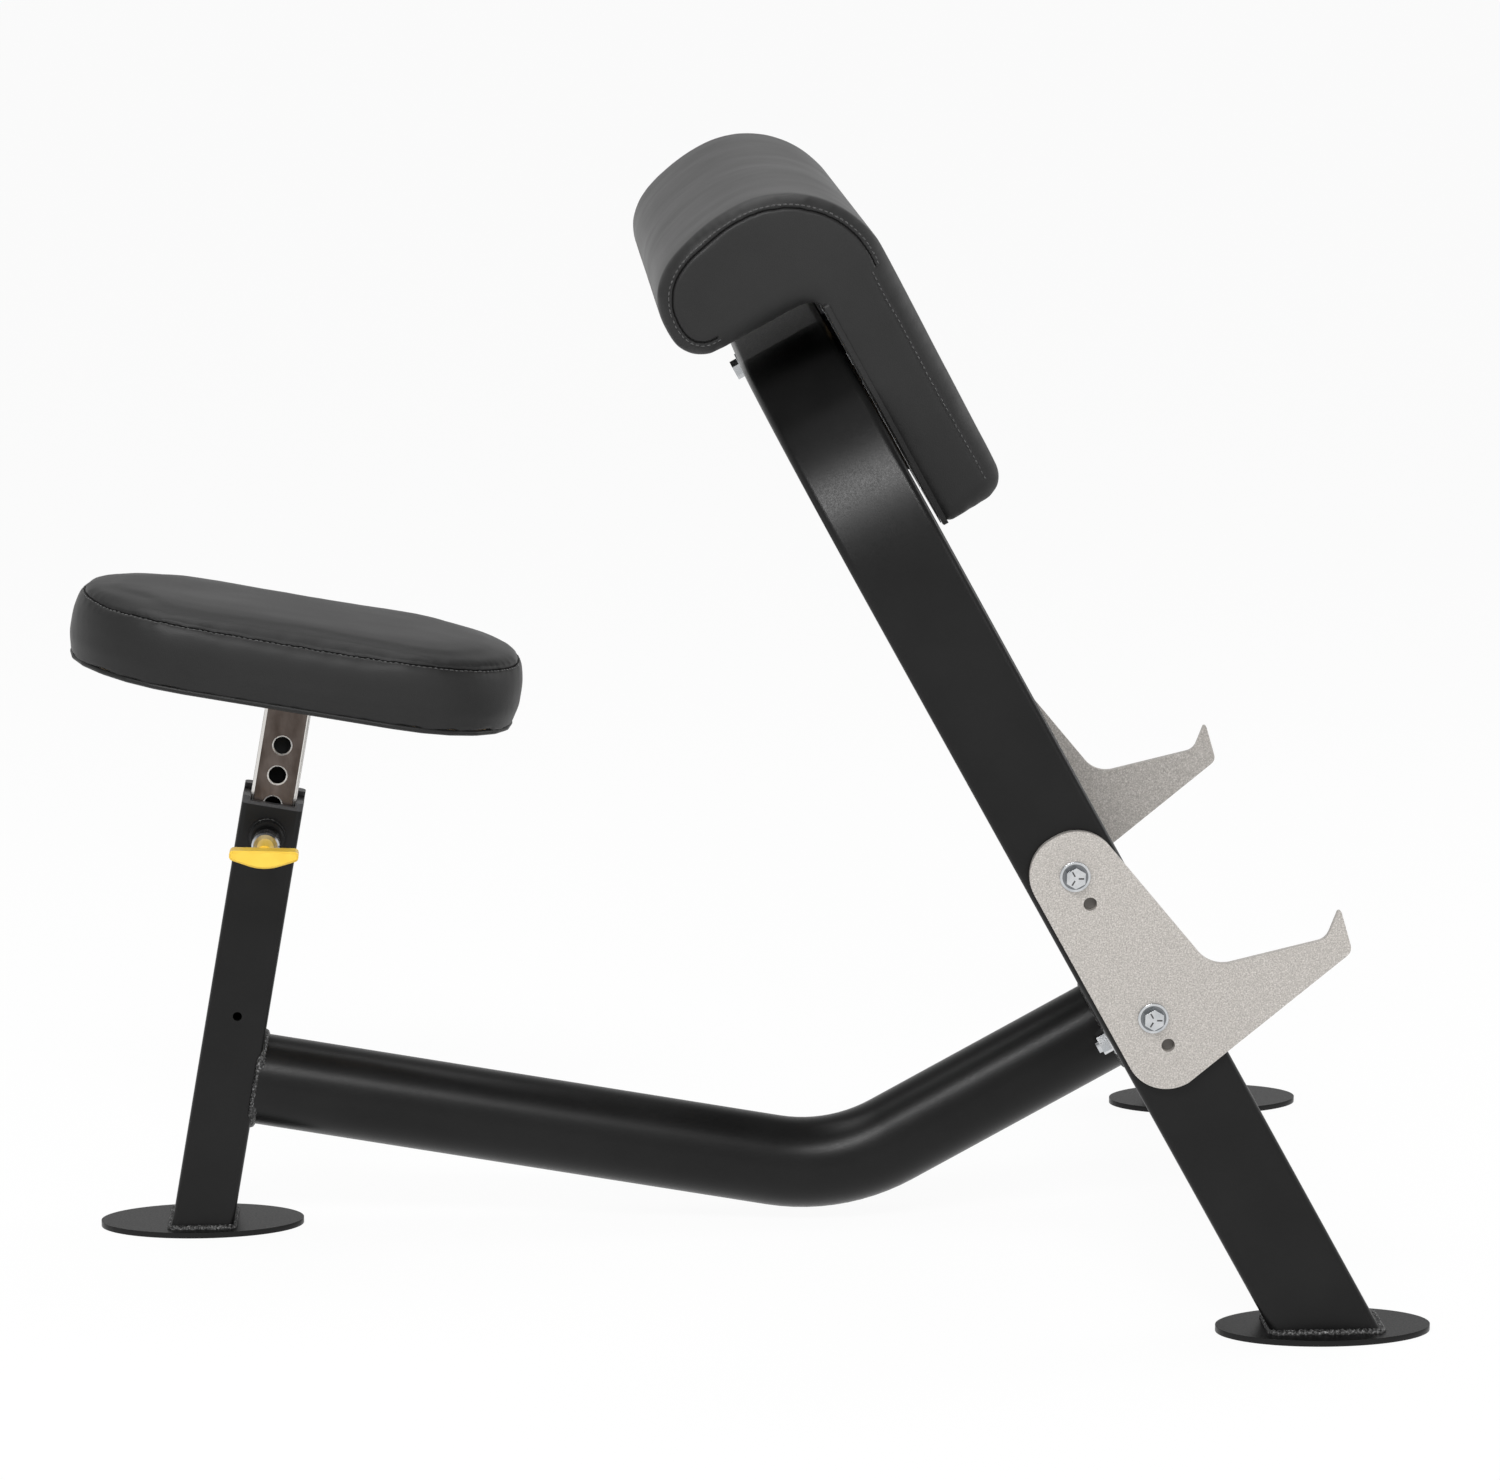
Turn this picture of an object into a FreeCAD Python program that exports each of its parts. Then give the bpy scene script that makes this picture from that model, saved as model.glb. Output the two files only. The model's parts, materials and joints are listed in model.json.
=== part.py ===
"""Preacher curl bench: leaning arch with an arm pad, a bent spine tube and a height-adjustable seat.

Millimetres. +X runs from the seat to the arch, +Y to the sitter's left, +Z up.
The origin is on the floor, under the middle of the bench's overall box.
"""
import FreeCAD, Part
import math
import os
import Sketcher

Vector = FreeCAD.Vector
doc = FreeCAD.newDocument("PreacherCurlBench")
sizes = doc.addObject("Spreadsheet::Sheet", "Sizes")
places = doc.addObject("Spreadsheet::Sheet", "Places")
finished = []

# Driving dimensions: millimetres, or degrees where the words say so
SIZES = (
    # Stance of the whole bench
    ("rear_foot_x", -440.5, "centre of the rear foot along the bench"),
    ("foot_span", 897.2, "rear foot centre to front foot centres"),
    ("lean", 28.8, "degrees the arch leans back over the seat"),
    ("tilt", 10.2, "degrees the seat post leans forward"),

    # Foot plates
    ("foot_length", 170, "plate along the bench"),
    ("foot_width", 88, "plate across the bench"),
    ("foot_thickness", 4.8, "plate thickness"),
    ("foot_setback", 2.4, "front plates behind their legs' centre lines"),

    # Arch of rectangular tube
    ("leg_spacing", 681.2, "centre to centre of the two legs"),
    ("leg_depth", 76.2, "tube side along the bench"),
    ("leg_width", 50.8, "tube side across the bench"),
    ("leg_wall", 3, "tube wall"),
    ("leg_corner", 6, "outer corner radius of the tube"),
    ("arch_radius", 175, "bend radius at the tube's centre"),
    ("arch_height", 872, "crossing's outer face above the floor, along the lean"),

    # Cross brace between the legs
    ("brace_depth", 63.5, "tube side along the bench"),
    ("brace_height", 76.2, "tube side along the lean"),
    ("brace_wall", 3, "tube wall"),
    ("brace_corner", 6, "outer corner radius"),
    ("brace_level", 208.6, "brace centre above the floor, along the lean"),

    # Spine tube and its bolted flange
    ("main_diameter", 76.2, "outside diameter"),
    ("main_wall", 3, "tube wall"),
    ("main_bend", 152.4, "bend radius at the tube's centre"),
    ("main_level", 132.6, "tube centre above the floor, along the seat post"),
    ("flange_thickness", 9.5, "plate thickness"),
    ("flange_width", 152, "plate width across the bench"),
    ("flange_bolt_spacing", 114, "distance between its two bolts"),

    # Hexagon fasteners
    ("bolt_diameter", 9.5, "shank"),
    ("bolt_hole", 10.5, "clearance hole"),
    ("bolt_flats", 14.3, "head and nut across flats"),
    ("bolt_head", 6.2, "head height"),
    ("nut_height", 8.2, "nut height"),
    ("washer_diameter", 24, "washer outside diameter"),
    ("washer_thickness", 2, "washer thickness"),
    ("bolt_end", 3, "shank left over past a nut"),

    # Seat post, its sleeve and the sliding inner post
    ("post_depth", 50.8, "outer tube side along the bench"),
    ("post_width", 63.5, "outer tube side across the bench"),
    ("post_wall", 3, "outer tube wall"),
    ("post_corner", 5, "outer tube corner radius"),
    ("post_top", 370.5, "top of the outer tube above the floor, along the post"),
    ("drain_hole", 7.6, "small hole in the post's right face"),
    ("drain_level", 190.4, "height of that hole along the post"),
    ("inner_wall", 3, "inner tube wall"),
    ("inner_corner", 4, "inner tube corner radius"),
    ("inner_bottom", 63.4, "inner tube below its lowest height hole"),
    ("slide_clearance", 0.3, "inner tube to sleeve, each side"),
    ("sleeve_clearance", 0.1, "sleeve to outer tube, each side"),
    ("sleeve_wall", 2.95, "sleeve between the two tubes, each side"),
    ("sleeve_depth", 90, "length of sleeve inside the post"),
    ("sleeve_flange", 6.6, "rim above the post"),
    ("sleeve_slot", 37, "width of the shallow slots across the rim"),
    ("sleeve_slot_depth", 4, "depth of those slots"),
    ("hole_diameter", 14.4, "height holes in the inner tube"),
    ("hole_chamfer", 1.2, "bevel of each height hole"),
    ("hole_pitch", 25.4, "distance between height holes"),
    ("hole_count", 7, "number of height holes"),

    # Spring-loaded pull pin
    ("pin_level", 24.9, "pin below the top of the post, along the post"),
    ("pin_diameter", 12.7, "plunger"),
    ("pin_clearance", 0.05, "plunger in its barrel, each side"),
    ("pin_hole", 14, "hole for the plunger in post and sleeve"),
    ("pin_grip", 12, "plunger past the inner tube's face"),
    ("pin_nose", 2, "bevel of the plunger's end"),
    ("tail_diameter", 7.9, "plunger's thinner tail through the barrel's cap"),
    ("boss_diameter", 28.6, "threaded boss on the post"),
    ("boss_length", 10, "boss height"),
    ("barrel_thread", 19, "barrel's threaded end in the boss"),
    ("barrel_diameter", 23, "barrel"),
    ("barrel_length", 30, "barrel past the boss"),
    ("barrel_bevel", 1.5, "bevel of the barrel's end"),
    ("barrel_cap", 4, "closed end of the barrel"),
    ("spring_room", 21.5, "bore left for the spring when the pin is home"),
    ("handle_gap", 0.3, "barrel to handle when the pin is home"),
    ("stem_diameter", 13.5, "handle's neck"),
    ("stem_length", 26, "handle's neck"),
    ("grip_width", 56, "handle from end to end"),
    ("grip_top", 5.2, "handle's flat edge above the pin's axis"),
    ("grip_end", 2.5, "handle's ends below the pin's axis"),
    ("grip_belly", 11.4, "handle's curved edge below the pin's axis, before rounding"),
    ("grip_thickness", 15, "handle along the pin"),
    ("grip_corner", 3.6, "rounding of the handle's outline at its ends"),
    ("grip_belly_radius", 40, "rounding of the handle's lower edge"),
    ("grip_top_corner", 3.6, "rounding of the handle's upper corners"),
    ("grip_edge", 1.6, "bevel of the handle's outer edge"),
    ("grip_roll", 8.3, "degrees the handle is turned about its pin, towards level"),
    ("pin_socket", 20, "plunger inside the handle"),

    # Seat
    ("seat_level", 95.5, "underside of the seat above the top of the post, along the post"),
    ("seat_length", 376.5, "along the bench"),
    ("seat_width", 218, "across the bench"),
    ("seat_corner", 103, "corner radius in plan"),
    ("seat_side", 57.3, "height of the sewn side band"),
    ("seat_crown", 9.5, "rise of the top above the seam"),
    ("crown_inset", 74, "width over which the top rises"),
    ("seat_pinch", 5, "side band drawn in at its seams"),
    ("seat_plate_length", 152, "steel plate along the bench"),
    ("seat_plate_width", 100, "steel plate across the bench"),
    ("seat_plate_thickness", 4.8, "steel plate"),
    ("seat_screw_x", 120, "screw spacing along the bench"),
    ("seat_screw_y", 72, "screw spacing across the bench"),
    ("board_thickness", 12, "plywood boards"),
    ("board_margin", 11, "boards inside the edge of their cushions"),
    ("soft_clearance", 0.3, "cushions clear of boards and steel"),
    ("screw_diameter", 6.3, "board screws"),
    ("screw_flats", 11.1, "head of the board screws across flats"),
    ("screw_head", 4, "head of the board screws"),
    ("screw_hole", 7, "screw clearance hole"),
    ("screw_bite", 9, "screw length inside a board"),

    # Arm pad
    ("pad_width", 586, "across the bench"),
    ("pad_plate_thickness", 3.2, "steel plate behind the pad"),
    ("pad_plate_width", 300, "steel plate across the bench"),
    ("pad_plate_drop", 92, "steel plate below the crossing"),
    ("pad_screw_spacing", 220, "lower screws of the pad plate"),
    ("pad_screw_drop", 70, "lower screws below the crossing"),
    ("pad_bottom", 170, "lower end of the pad below the arch's top, along the lean"),
    ("arm_thickness", 64, "pad thickness towards the roll"),
    ("toe_thickness", 58.3, "pad thickness at its lower end"),
    ("roll_under", 32.6, "underside of the roll above the arch's top, along the lean"),
    ("roll_front", 145.3, "front corner of the roll above the arch's top, before rounding"),
    ("roll_rear", 105.4, "rear corner of the roll above the arch's top, before rounding"),
    ("roll_reach", 72.2, "roll behind the arch's centre plane"),
    ("roll_front_radius", 85.7, "rounding of the front corner"),
    ("roll_rear_radius", 45.6, "rounding of the rear corner"),
    ("roll_lip_radius", 25.6, "rounding of the roll's lower edge"),
    ("pad_inner_radius", 12, "inner corner under the roll"),
    ("pad_toe_radius", 20, "rounding at the lower front"),
    ("pad_heel_radius", 7, "rounding at the lower back"),
    ("pad_end_radius", 5, "sewn edges at both ends"),

    # Bar catches
    ("catch_thickness", 6.4, "plate thickness"),
    ("catch_upper", 428.8, "upper bolt along the lean"),
    ("catch_bolt_spacing", 128.5, "between the two bolts"),
    ("catch_hole_drop", 25, "spare hole below each bolt"),
    ("catch_half_width", 34.2, "plate edge from the bolt line"),
    ("catch_lobe", 32.5, "rounding of the plate's corners"),
    ("catch_brow", 29.3, "front edge's start ahead of the bolt line, before rounding"),
    ("valley_n", 58.1, "bar valley ahead of the bolt line"),
    ("valley_drop", 115.7, "bar valley below the upper bolt"),
    ("valley_radius", 25, "bar valley rounding"),
    ("horn_inner_n", 146, "foot of the horn ahead of the bolt line"),
    ("horn_inner_drop", 139.9, "foot of the horn below the upper bolt"),
    ("horn_inner_radius", 12, "rounding at the foot of the horn"),
    ("horn_tip_n", 167, "tip of the horn ahead of the bolt line"),
    ("horn_tip_drop", 122.3, "tip of the horn below the upper bolt"),
    ("horn_tip_radius", 1.6, "rounding of the tip"),
    ("horn_outer_n", 159, "outer corner ahead of the bolt line"),
    ("horn_outer_drop", 158.3, "outer corner below the upper bolt"),
    ("horn_outer_radius", 8, "rounding of the outer corner"),
    ("catch_chin", 0, "lower edge's end ahead of the bolt line, before rounding"),
    ("chin_radius", 8, "rounding where the lower edge starts"),
)
for row, (name, number, meaning) in enumerate(SIZES, start=1):
    sizes.set(f"A{row}", meaning)
    sizes.set(f"B{row}", str(number))
    sizes.setAlias(f"B{row}", name)
doc.recompute()

# Positions that follow from the sizes
PLACES = (
    ("front_foot_x", "Sizes.rear_foot_x + Sizes.foot_span"),
    ("leg_y", "Sizes.leg_spacing / 2"),
    ("leg_face_y", "leg_y + Sizes.leg_width / 2"),
    ("leg_inner_y", "leg_y - Sizes.leg_width / 2"),
    ("crossing_level", "Sizes.arch_height - Sizes.leg_width / 2"),
    ("turn", "Sizes.lean + Sizes.tilt"),
    ("main_start_x",
     "Sizes.rear_foot_x + Sizes.main_level * sin(Sizes.tilt) + Sizes.post_depth / 2 * cos(Sizes.tilt)"),
    ("main_start_z", "Sizes.main_level * cos(Sizes.tilt) - Sizes.post_depth / 2 * sin(Sizes.tilt)"),
    ("gap_x", "front_foot_x - Sizes.brace_level * sin(Sizes.lean) - main_start_x"),
    ("gap_z", "Sizes.brace_level * cos(Sizes.lean) - main_start_z"),
    ("flange_face", "Sizes.brace_depth / 2 + Sizes.flange_thickness"),
    ("bend_tangent", "Sizes.main_bend * tan(turn / 2)"),
    ("main_first", "(gap_x * sin(Sizes.lean) - gap_z * cos(Sizes.lean)) / sin(turn) - bend_tangent"),
    ("main_last",
     "(gap_z * cos(Sizes.tilt) + gap_x * sin(Sizes.tilt)) / sin(turn) - flange_face - bend_tangent"),
    ("post_face", "Sizes.post_width / 2"),
    ("nesting", "2 * (Sizes.post_wall + Sizes.sleeve_clearance + Sizes.sleeve_wall + Sizes.slide_clearance)"),
    ("inner_depth", "Sizes.post_depth - nesting"),
    ("inner_width", "Sizes.post_width - nesting"),
    ("inner_face", "inner_width / 2"),
    ("pin_height", "Sizes.post_top - Sizes.pin_level"),
    ("lowest_hole", "pin_height - (Sizes.hole_count - 1) / 2 * Sizes.hole_pitch"),
    ("inner_end", "lowest_hole - Sizes.inner_bottom"),
    ("seat_height", "Sizes.post_top + Sizes.seat_level"),
    ("barrel_end", "post_face + Sizes.boss_length + Sizes.barrel_length"),
    ("handle_start", "barrel_end + Sizes.handle_gap"),
    ("grip_start", "handle_start + Sizes.stem_length"),
    ("plunger_tip", "inner_face - Sizes.pin_grip"),
    ("cap_face", "barrel_end - Sizes.barrel_cap"),
    ("plunger_shoulder", "cap_face - Sizes.spring_room"),
    ("plunger_end", "handle_start + Sizes.pin_socket"),
    ("pin_x", "Sizes.rear_foot_x + pin_height * sin(Sizes.tilt)"),
    ("pin_z", "pin_height * cos(Sizes.tilt)"),
    ("grip_slope", "Sizes.tilt - Sizes.grip_roll"),
    ("seat_plate_bottom", "seat_height - Sizes.seat_plate_thickness"),
    ("pad_low", "Sizes.arch_height - Sizes.pad_bottom"),
    ("roll_low", "Sizes.arch_height + Sizes.roll_under"),
    ("roll_front_level", "Sizes.arch_height + Sizes.roll_front"),
    ("roll_rear_level", "Sizes.arch_height + Sizes.roll_rear"),
    ("pad_back", "Sizes.leg_depth / 2 + Sizes.pad_plate_thickness"),
    ("pad_front", "pad_back + Sizes.arm_thickness"),
    ("pad_toe", "pad_back + Sizes.toe_thickness"),
    ("catch_lower", "Sizes.catch_upper - Sizes.catch_bolt_spacing"),
    ("catch_bottom", "catch_lower - Sizes.catch_hole_drop - Sizes.catch_half_width"),
    ("catch_top", "Sizes.catch_upper + Sizes.catch_half_width"),
)
for row, (name, formula) in enumerate(PLACES, start=1):
    places.set(f"A{row}", name)
    places.set(f"B{row}", "=" + formula)
    places.setAlias(f"B{row}", name)
    doc.recompute()

LEAN_AXIS = Vector(0, -1, 0)
TILT_AXIS = Vector(0, 1, 0)
ALONG_Y = FreeCAD.Rotation(Vector(1, 0, 0), -90)
AGAINST_Y = FreeCAD.Rotation(Vector(1, 0, 0), 90)
ALONG_X = FreeCAD.Rotation(Vector(0, 1, 0), 90)
AGAINST_X = FreeCAD.Rotation(Vector(0, 1, 0), -90)
UPWARD = FreeCAD.Rotation()


def dimension(sketch, rule, formula):
    """Adds a dimension to a sketch and ties it to a formula over the sheets."""
    number = sketch.addConstraint(rule)
    sketch.setExpression(f"Constraints[{number}]", str(formula))


def value(formula):
    """A formula over the two sheets as a plain number."""
    return float(sizes.evalExpression(str(formula)))


FRAMES = {
    "arch": (LEAN_AXIS, "Sizes.lean", "Places.front_foot_x", "0"),
    "post": (TILT_AXIS, "Sizes.tilt", "Sizes.rear_foot_x", "0"),
    "spine": (TILT_AXIS, "Sizes.tilt", "Places.main_start_x", "Places.main_start_z"),
    "handle": (TILT_AXIS, "Places.grip_slope", "Places.pin_x", "Places.pin_z"),
}


def seat_in_frame(item, frame):
    """Put a piece into one of the bench's leaning frames and tie it to the sheet."""
    axis, angle, x, z = FRAMES[frame]
    item.Placement = FreeCAD.Placement(Vector(), FreeCAD.Rotation(axis, value(angle)))
    item.setExpression("Placement.Rotation.Angle", angle)
    item.setExpression("Placement.Base.x", x)
    item.setExpression("Placement.Base.z", z)


def new_body(label, frame=None):
    body = doc.addObject("PartDesign::Body", label)
    body.Label = label
    if frame:
        seat_in_frame(body, frame)
    finished.append(body)
    return body


def new_sketch(body, plane, name, offset="0"):
    """A sketch on one of the body's own origin planes, moved along that plane's normal."""
    sketch = body.newObject("Sketcher::SketchObject", f"{body.Name}_{name}")
    support = next(f for f in body.Origin.OriginFeatures if f.Role == plane)
    sketch.AttachmentSupport = [(support, "")]
    sketch.MapMode = "FlatFace"
    if offset != "0":
        sketch.AttachmentOffset = FreeCAD.Placement(Vector(0, 0, value(offset)), FreeCAD.Rotation())
        sketch.setExpression("AttachmentOffset.Base.z", offset)
    return sketch


def bind(sketch, kind, geometry, point, formula):
    """Tie one coordinate of a sketch point to the sheet."""
    if str(formula) == "0":
        axis = -2 if kind == "DistanceX" else -1
        sketch.addConstraint(Sketcher.Constraint("PointOnObject", geometry, point, axis))
        return
    dimension(sketch, Sketcher.Constraint(kind, geometry, point, value(formula)), formula)


def bind_point(sketch, geometry, point, x, y):
    if str(x) == "0" and str(y) == "0":
        sketch.addConstraint(Sketcher.Constraint("Coincident", geometry, point, -1, 1))
        return
    bind(sketch, "DistanceX", geometry, point, x)
    bind(sketch, "DistanceY", geometry, point, y)


def draw_circle(sketch, x, y, diameter):
    circle = Part.Circle(Vector(value(x), value(y), 0), Vector(0, 0, 1), value(diameter) / 2)
    index = sketch.addGeometry(circle, False)
    dimension(sketch, Sketcher.Constraint("Diameter", index, value(diameter)), diameter)
    bind_point(sketch, index, 3, x, y)


def draw_outline(sketch, corners):
    """A closed outline of straight edges. Each corner is (x, y, rounding radius), as formulas."""
    count = len(corners)
    points = [Vector(value(x), value(y), 0) for x, y, _ in corners]
    radii = [value(r) for _, _, r in corners]
    entries, exits, centres, turns = [], [], [], []
    for i in range(count):
        come = (points[i] - points[i - 1]).normalize()
        leave = (points[(i + 1) % count] - points[i]).normalize()
        cross = come.x * leave.y - come.y * leave.x
        half_turn = math.atan2(abs(cross), come.dot(leave)) / 2
        reach = radii[i] * math.tan(half_turn)
        side = math.copysign(1, cross)
        entries.append(points[i] - come * reach)
        exits.append(points[i] + leave * reach)
        centres.append(entries[i] + Vector(-come.y, come.x, 0) * radii[i] * side)
        turns.append(side)
    lines = []
    for i in range(count):
        edge = Part.LineSegment(exits[i], entries[(i + 1) % count])
        lines.append(sketch.addGeometry(edge, False))
    for i, (x, y, radius) in enumerate(corners):
        line_in = lines[i - 1]
        line_out = lines[i]
        if radii[i] == 0:
            sketch.addConstraint(Sketcher.Constraint("Coincident", line_in, 2, line_out, 1))
            bind_point(sketch, line_out, 1, x, y)
            continue
        first, last = (entries[i], exits[i]) if turns[i] > 0 else (exits[i], entries[i])
        start = math.atan2(first.y - centres[i].y, first.x - centres[i].x)
        end = math.atan2(last.y - centres[i].y, last.x - centres[i].x)
        circle = Part.Circle(centres[i], Vector(0, 0, 1), radii[i])
        arc = sketch.addGeometry(Part.ArcOfCircle(circle, start, end), False)
        end_in, end_out = (1, 2) if turns[i] > 0 else (2, 1)
        sketch.addConstraint(Sketcher.Constraint("Tangent", line_in, 2, arc, end_in))
        sketch.addConstraint(Sketcher.Constraint("Tangent", line_out, 1, arc, end_out))
        dimension(sketch, Sketcher.Constraint("Radius", arc, radii[i]), radius)
        corner = sketch.addGeometry(Part.Point(points[i]), True)
        sketch.addConstraint(Sketcher.Constraint("PointOnObject", corner, 1, line_in))
        sketch.addConstraint(Sketcher.Constraint("PointOnObject", corner, 1, line_out))
        bind_point(sketch, corner, 1, x, y)


def draw_block(sketch, width, height, radius, x="0", y="0"):
    """A rectangle about (x, y), with rounded corners."""
    left, right = f"{x} - ({width}) / 2", f"{x} + ({width}) / 2"
    low, high = f"{y} - ({height}) / 2", f"{y} + ({height}) / 2"
    corners = [(left, low), (right, low), (right, high), (left, high)]
    draw_outline(sketch, [(corner_x, corner_y, radius) for corner_x, corner_y in corners])


def draw_tube(sketch, width, height, wall, radius, y="0"):
    """The section of a rectangular tube, rounded outside and square inside."""
    draw_block(sketch, width, height, radius, y=y)
    draw_block(sketch, f"{width} - 2 * {wall}", f"{height} - 2 * {wall}", "0", y=y)


def pad(body, sketch, length, symmetric=False, reverse=False):
    feature = body.newObject("PartDesign::Pad", sketch.Name + "_pad")
    feature.Profile = sketch
    feature.setExpression("Length", length)
    feature.SideType = "Symmetric" if symmetric else "One side"
    feature.Reversed = reverse
    doc.recompute()
    return feature


def cut_through(body, sketch, symmetric=True, reverse=False):
    """Cut a sketch right through the body, and make sure that it removed something."""
    before = body.Shape.Volume
    feature = body.newObject("PartDesign::Pocket", sketch.Name + "_cut")
    feature.Profile = sketch
    feature.Type = "ThroughAll"
    feature.SideType = "Symmetric" if symmetric else "One side"
    feature.Reversed = reverse
    doc.recompute()
    assert body.Shape.Volume < before - 1e-6, f"{feature.Name} removed nothing"
    return feature


def cut_depth(body, sketch, depth, reverse=False):
    """Cut a sketch to a depth, and make sure that it removed something."""
    before = body.Shape.Volume
    feature = body.newObject("PartDesign::Pocket", sketch.Name + "_cut")
    feature.Profile = sketch
    feature.setExpression("Length", depth)
    feature.SideType = "One side"
    feature.Reversed = reverse
    doc.recompute()
    assert body.Shape.Volume < before - 1e-6, f"{feature.Name} removed nothing"
    return feature


def edge_names(feature, wanted):
    return [f"Edge{i}" for i, edge in enumerate(feature.Shape.Edges, 1) if wanted(edge)]


def dress(body, kind, base, names, amount):
    """A fillet or a chamfer on some edges of the body's last feature."""
    feature = body.newObject(f"PartDesign::{kind}", f"{body.Name}_{kind}")
    feature.Base = (base, names)
    feature.setExpression("Radius" if kind == "Fillet" else "Size", amount)
    doc.recompute()
    return feature


def turn_about(body, sketch, level, angle, reverse=False):
    """Turn a sketch about the line across it at a level."""
    far = value("Sizes.leg_depth")
    line = Part.LineSegment(Vector(-far, value(level), 0), Vector(far, value(level), 0))
    axis = sketch.addGeometry(line, True)
    sketch.addConstraint(Sketcher.Constraint("Horizontal", axis))
    bind_point(sketch, axis, 1, "-Sizes.leg_depth", level)
    bind(sketch, "DistanceX", axis, 2, "Sizes.leg_depth")
    feature = body.newObject("PartDesign::Revolution", sketch.Name + "_turn")
    feature.Profile = sketch
    feature.ReferenceAxis = (sketch, ["Axis0"])
    feature.setExpression("Angle", angle)
    feature.Reversed = reverse
    doc.recompute()
    return feature


def cut_at_floor(body, slope, reach):
    """Cut a leaning tube level with the top of its foot plate."""
    sketch = new_sketch(body, "XZ_Plane", "floor")
    rise = f"{reach} * tan({slope})"
    level = f"Sizes.foot_thickness / cos({slope})"
    depth = f"-4 * {reach}"
    draw_outline(sketch, [
        (f"-({reach})", f"{level} - {rise}", "0"),
        (f"-({reach})", depth, "0"),
        (reach, depth, "0"),
        (reach, f"{level} + {rise}", "0"),
    ])
    return cut_through(body, sketch)


# Foot plates: flat ellipses on the floor
def foot_plate(label, x, y):
    outline = doc.addObject("Part::Ellipse", label + "_outline")
    outline.setExpression("MajorRadius", "Sizes.foot_length / 2")
    outline.setExpression("MinorRadius", "Sizes.foot_width / 2")
    plate = doc.addObject("Part::Extrusion", label)
    plate.Label = label
    plate.Base = outline
    plate.DirMode = "Normal"
    plate.Solid = True
    plate.setExpression("LengthFwd", "Sizes.foot_thickness")
    outline.setExpression("Placement.Base.x", x)
    outline.setExpression("Placement.Base.y", y)
    finished.append(plate)


foot_plate("rear_foot", "Sizes.rear_foot_x", "0")
foot_plate("front_foot_right", "Places.front_foot_x - Sizes.foot_setback", "-Places.leg_y")
foot_plate("front_foot_left", "Places.front_foot_x - Sizes.foot_setback", "Places.leg_y")

# Arch: one rectangular tube bent twice, with both legs cut level at the feet
arch = new_body("arch_tube", "arch")
bend_level = "(Places.crossing_level - Sizes.arch_radius)"
bend_y = "(Places.leg_y - Sizes.arch_radius)"


def arch_section(name, plane, offset, across):
    """The arch's tube section on one plane, with its wide side along the sketch's own x."""
    sketch = new_sketch(arch, plane, name, offset=offset)
    draw_tube(sketch, "Sizes.leg_depth", "Sizes.leg_width", "Sizes.leg_wall", "Sizes.leg_corner", y=across)
    return sketch


leg_foot = "-Sizes.leg_depth"
leg = pad(arch, arch_section("leg", "XY_Plane", leg_foot, "-Places.leg_y"), f"{bend_level} - ({leg_foot})")
bend_section = arch_section("bend", "XY_Plane", bend_level, "-Places.leg_y")
bend = turn_about(arch, bend_section, f"-{bend_y}", "90", reverse=True)
crossing_section = arch_section("crossing", "XZ_Plane", "0", "Places.crossing_level")
pad(arch, crossing_section, f"2 * {bend_y}", symmetric=True)
other_side = arch.newObject("PartDesign::Mirrored", "other_side")
other_side.Originals = [leg, bend]
other_side.MirrorPlane = (next(f for f in arch.Origin.OriginFeatures if f.Role == "XZ_Plane"), [""])
arch.Tip = other_side
doc.recompute()
cut_at_floor(arch, "-Sizes.lean", "Sizes.leg_depth")
catch_holes = new_sketch(arch, "XZ_Plane", "catch_holes")
draw_circle(catch_holes, "0", "Sizes.catch_upper", "Sizes.bolt_hole")
draw_circle(catch_holes, "0", "Places.catch_lower", "Sizes.bolt_hole")
cut_through(arch, catch_holes)
pad_hole = new_sketch(arch, "YZ_Plane", "pad_hole")
draw_circle(pad_hole, "0", "Places.crossing_level", "Sizes.bolt_hole")
cut_through(arch, pad_hole)

# Cross brace between the legs, drilled for the two flange bolts
brace = new_body("cross_brace", "arch")
brace_section = new_sketch(brace, "XZ_Plane", "section")
draw_tube(brace_section, "Sizes.brace_depth", "Sizes.brace_height", "Sizes.brace_wall", "Sizes.brace_corner",
          y="Sizes.brace_level")
pad(brace, brace_section, "2 * Places.leg_inner_y", symmetric=True)


def flange_holes(body):
    sketch = new_sketch(body, "YZ_Plane", "holes")
    for side in ("-", ""):
        draw_circle(sketch, f"{side}Sizes.flange_bolt_spacing / 2", "Sizes.brace_level", "Sizes.bolt_hole")
    cut_through(body, sketch)


flange_holes(brace)

# Spine: round tube with one bend, square on the post and on the flange
spine = new_body("main_tube", "spine")
spine_path = new_sketch(spine, "XZ_Plane", "path")
first = value("Places.main_first")
last = value("Places.main_last")
bend = value("Sizes.main_bend")
turn = math.radians(value("Places.turn"))
bend_end = Vector(first + bend * math.sin(turn), bend * (1 - math.cos(turn)), 0)
far_end = bend_end + Vector(math.cos(turn), math.sin(turn), 0) * last
spine_path.addGeometry(Part.LineSegment(Vector(), Vector(first, 0, 0)), False)
spine_bend = Part.Circle(Vector(first, bend, 0), Vector(0, 0, 1), bend)
spine_path.addGeometry(Part.ArcOfCircle(spine_bend, -math.pi / 2, turn - math.pi / 2), False)
spine_path.addGeometry(Part.LineSegment(bend_end, far_end), False)
spine_path.addConstraint(Sketcher.Constraint("Coincident", 0, 1, -1, 1))
spine_path.addConstraint(Sketcher.Constraint("Horizontal", 0))
spine_path.addConstraint(Sketcher.Constraint("Tangent", 0, 2, 1, 1))
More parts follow.
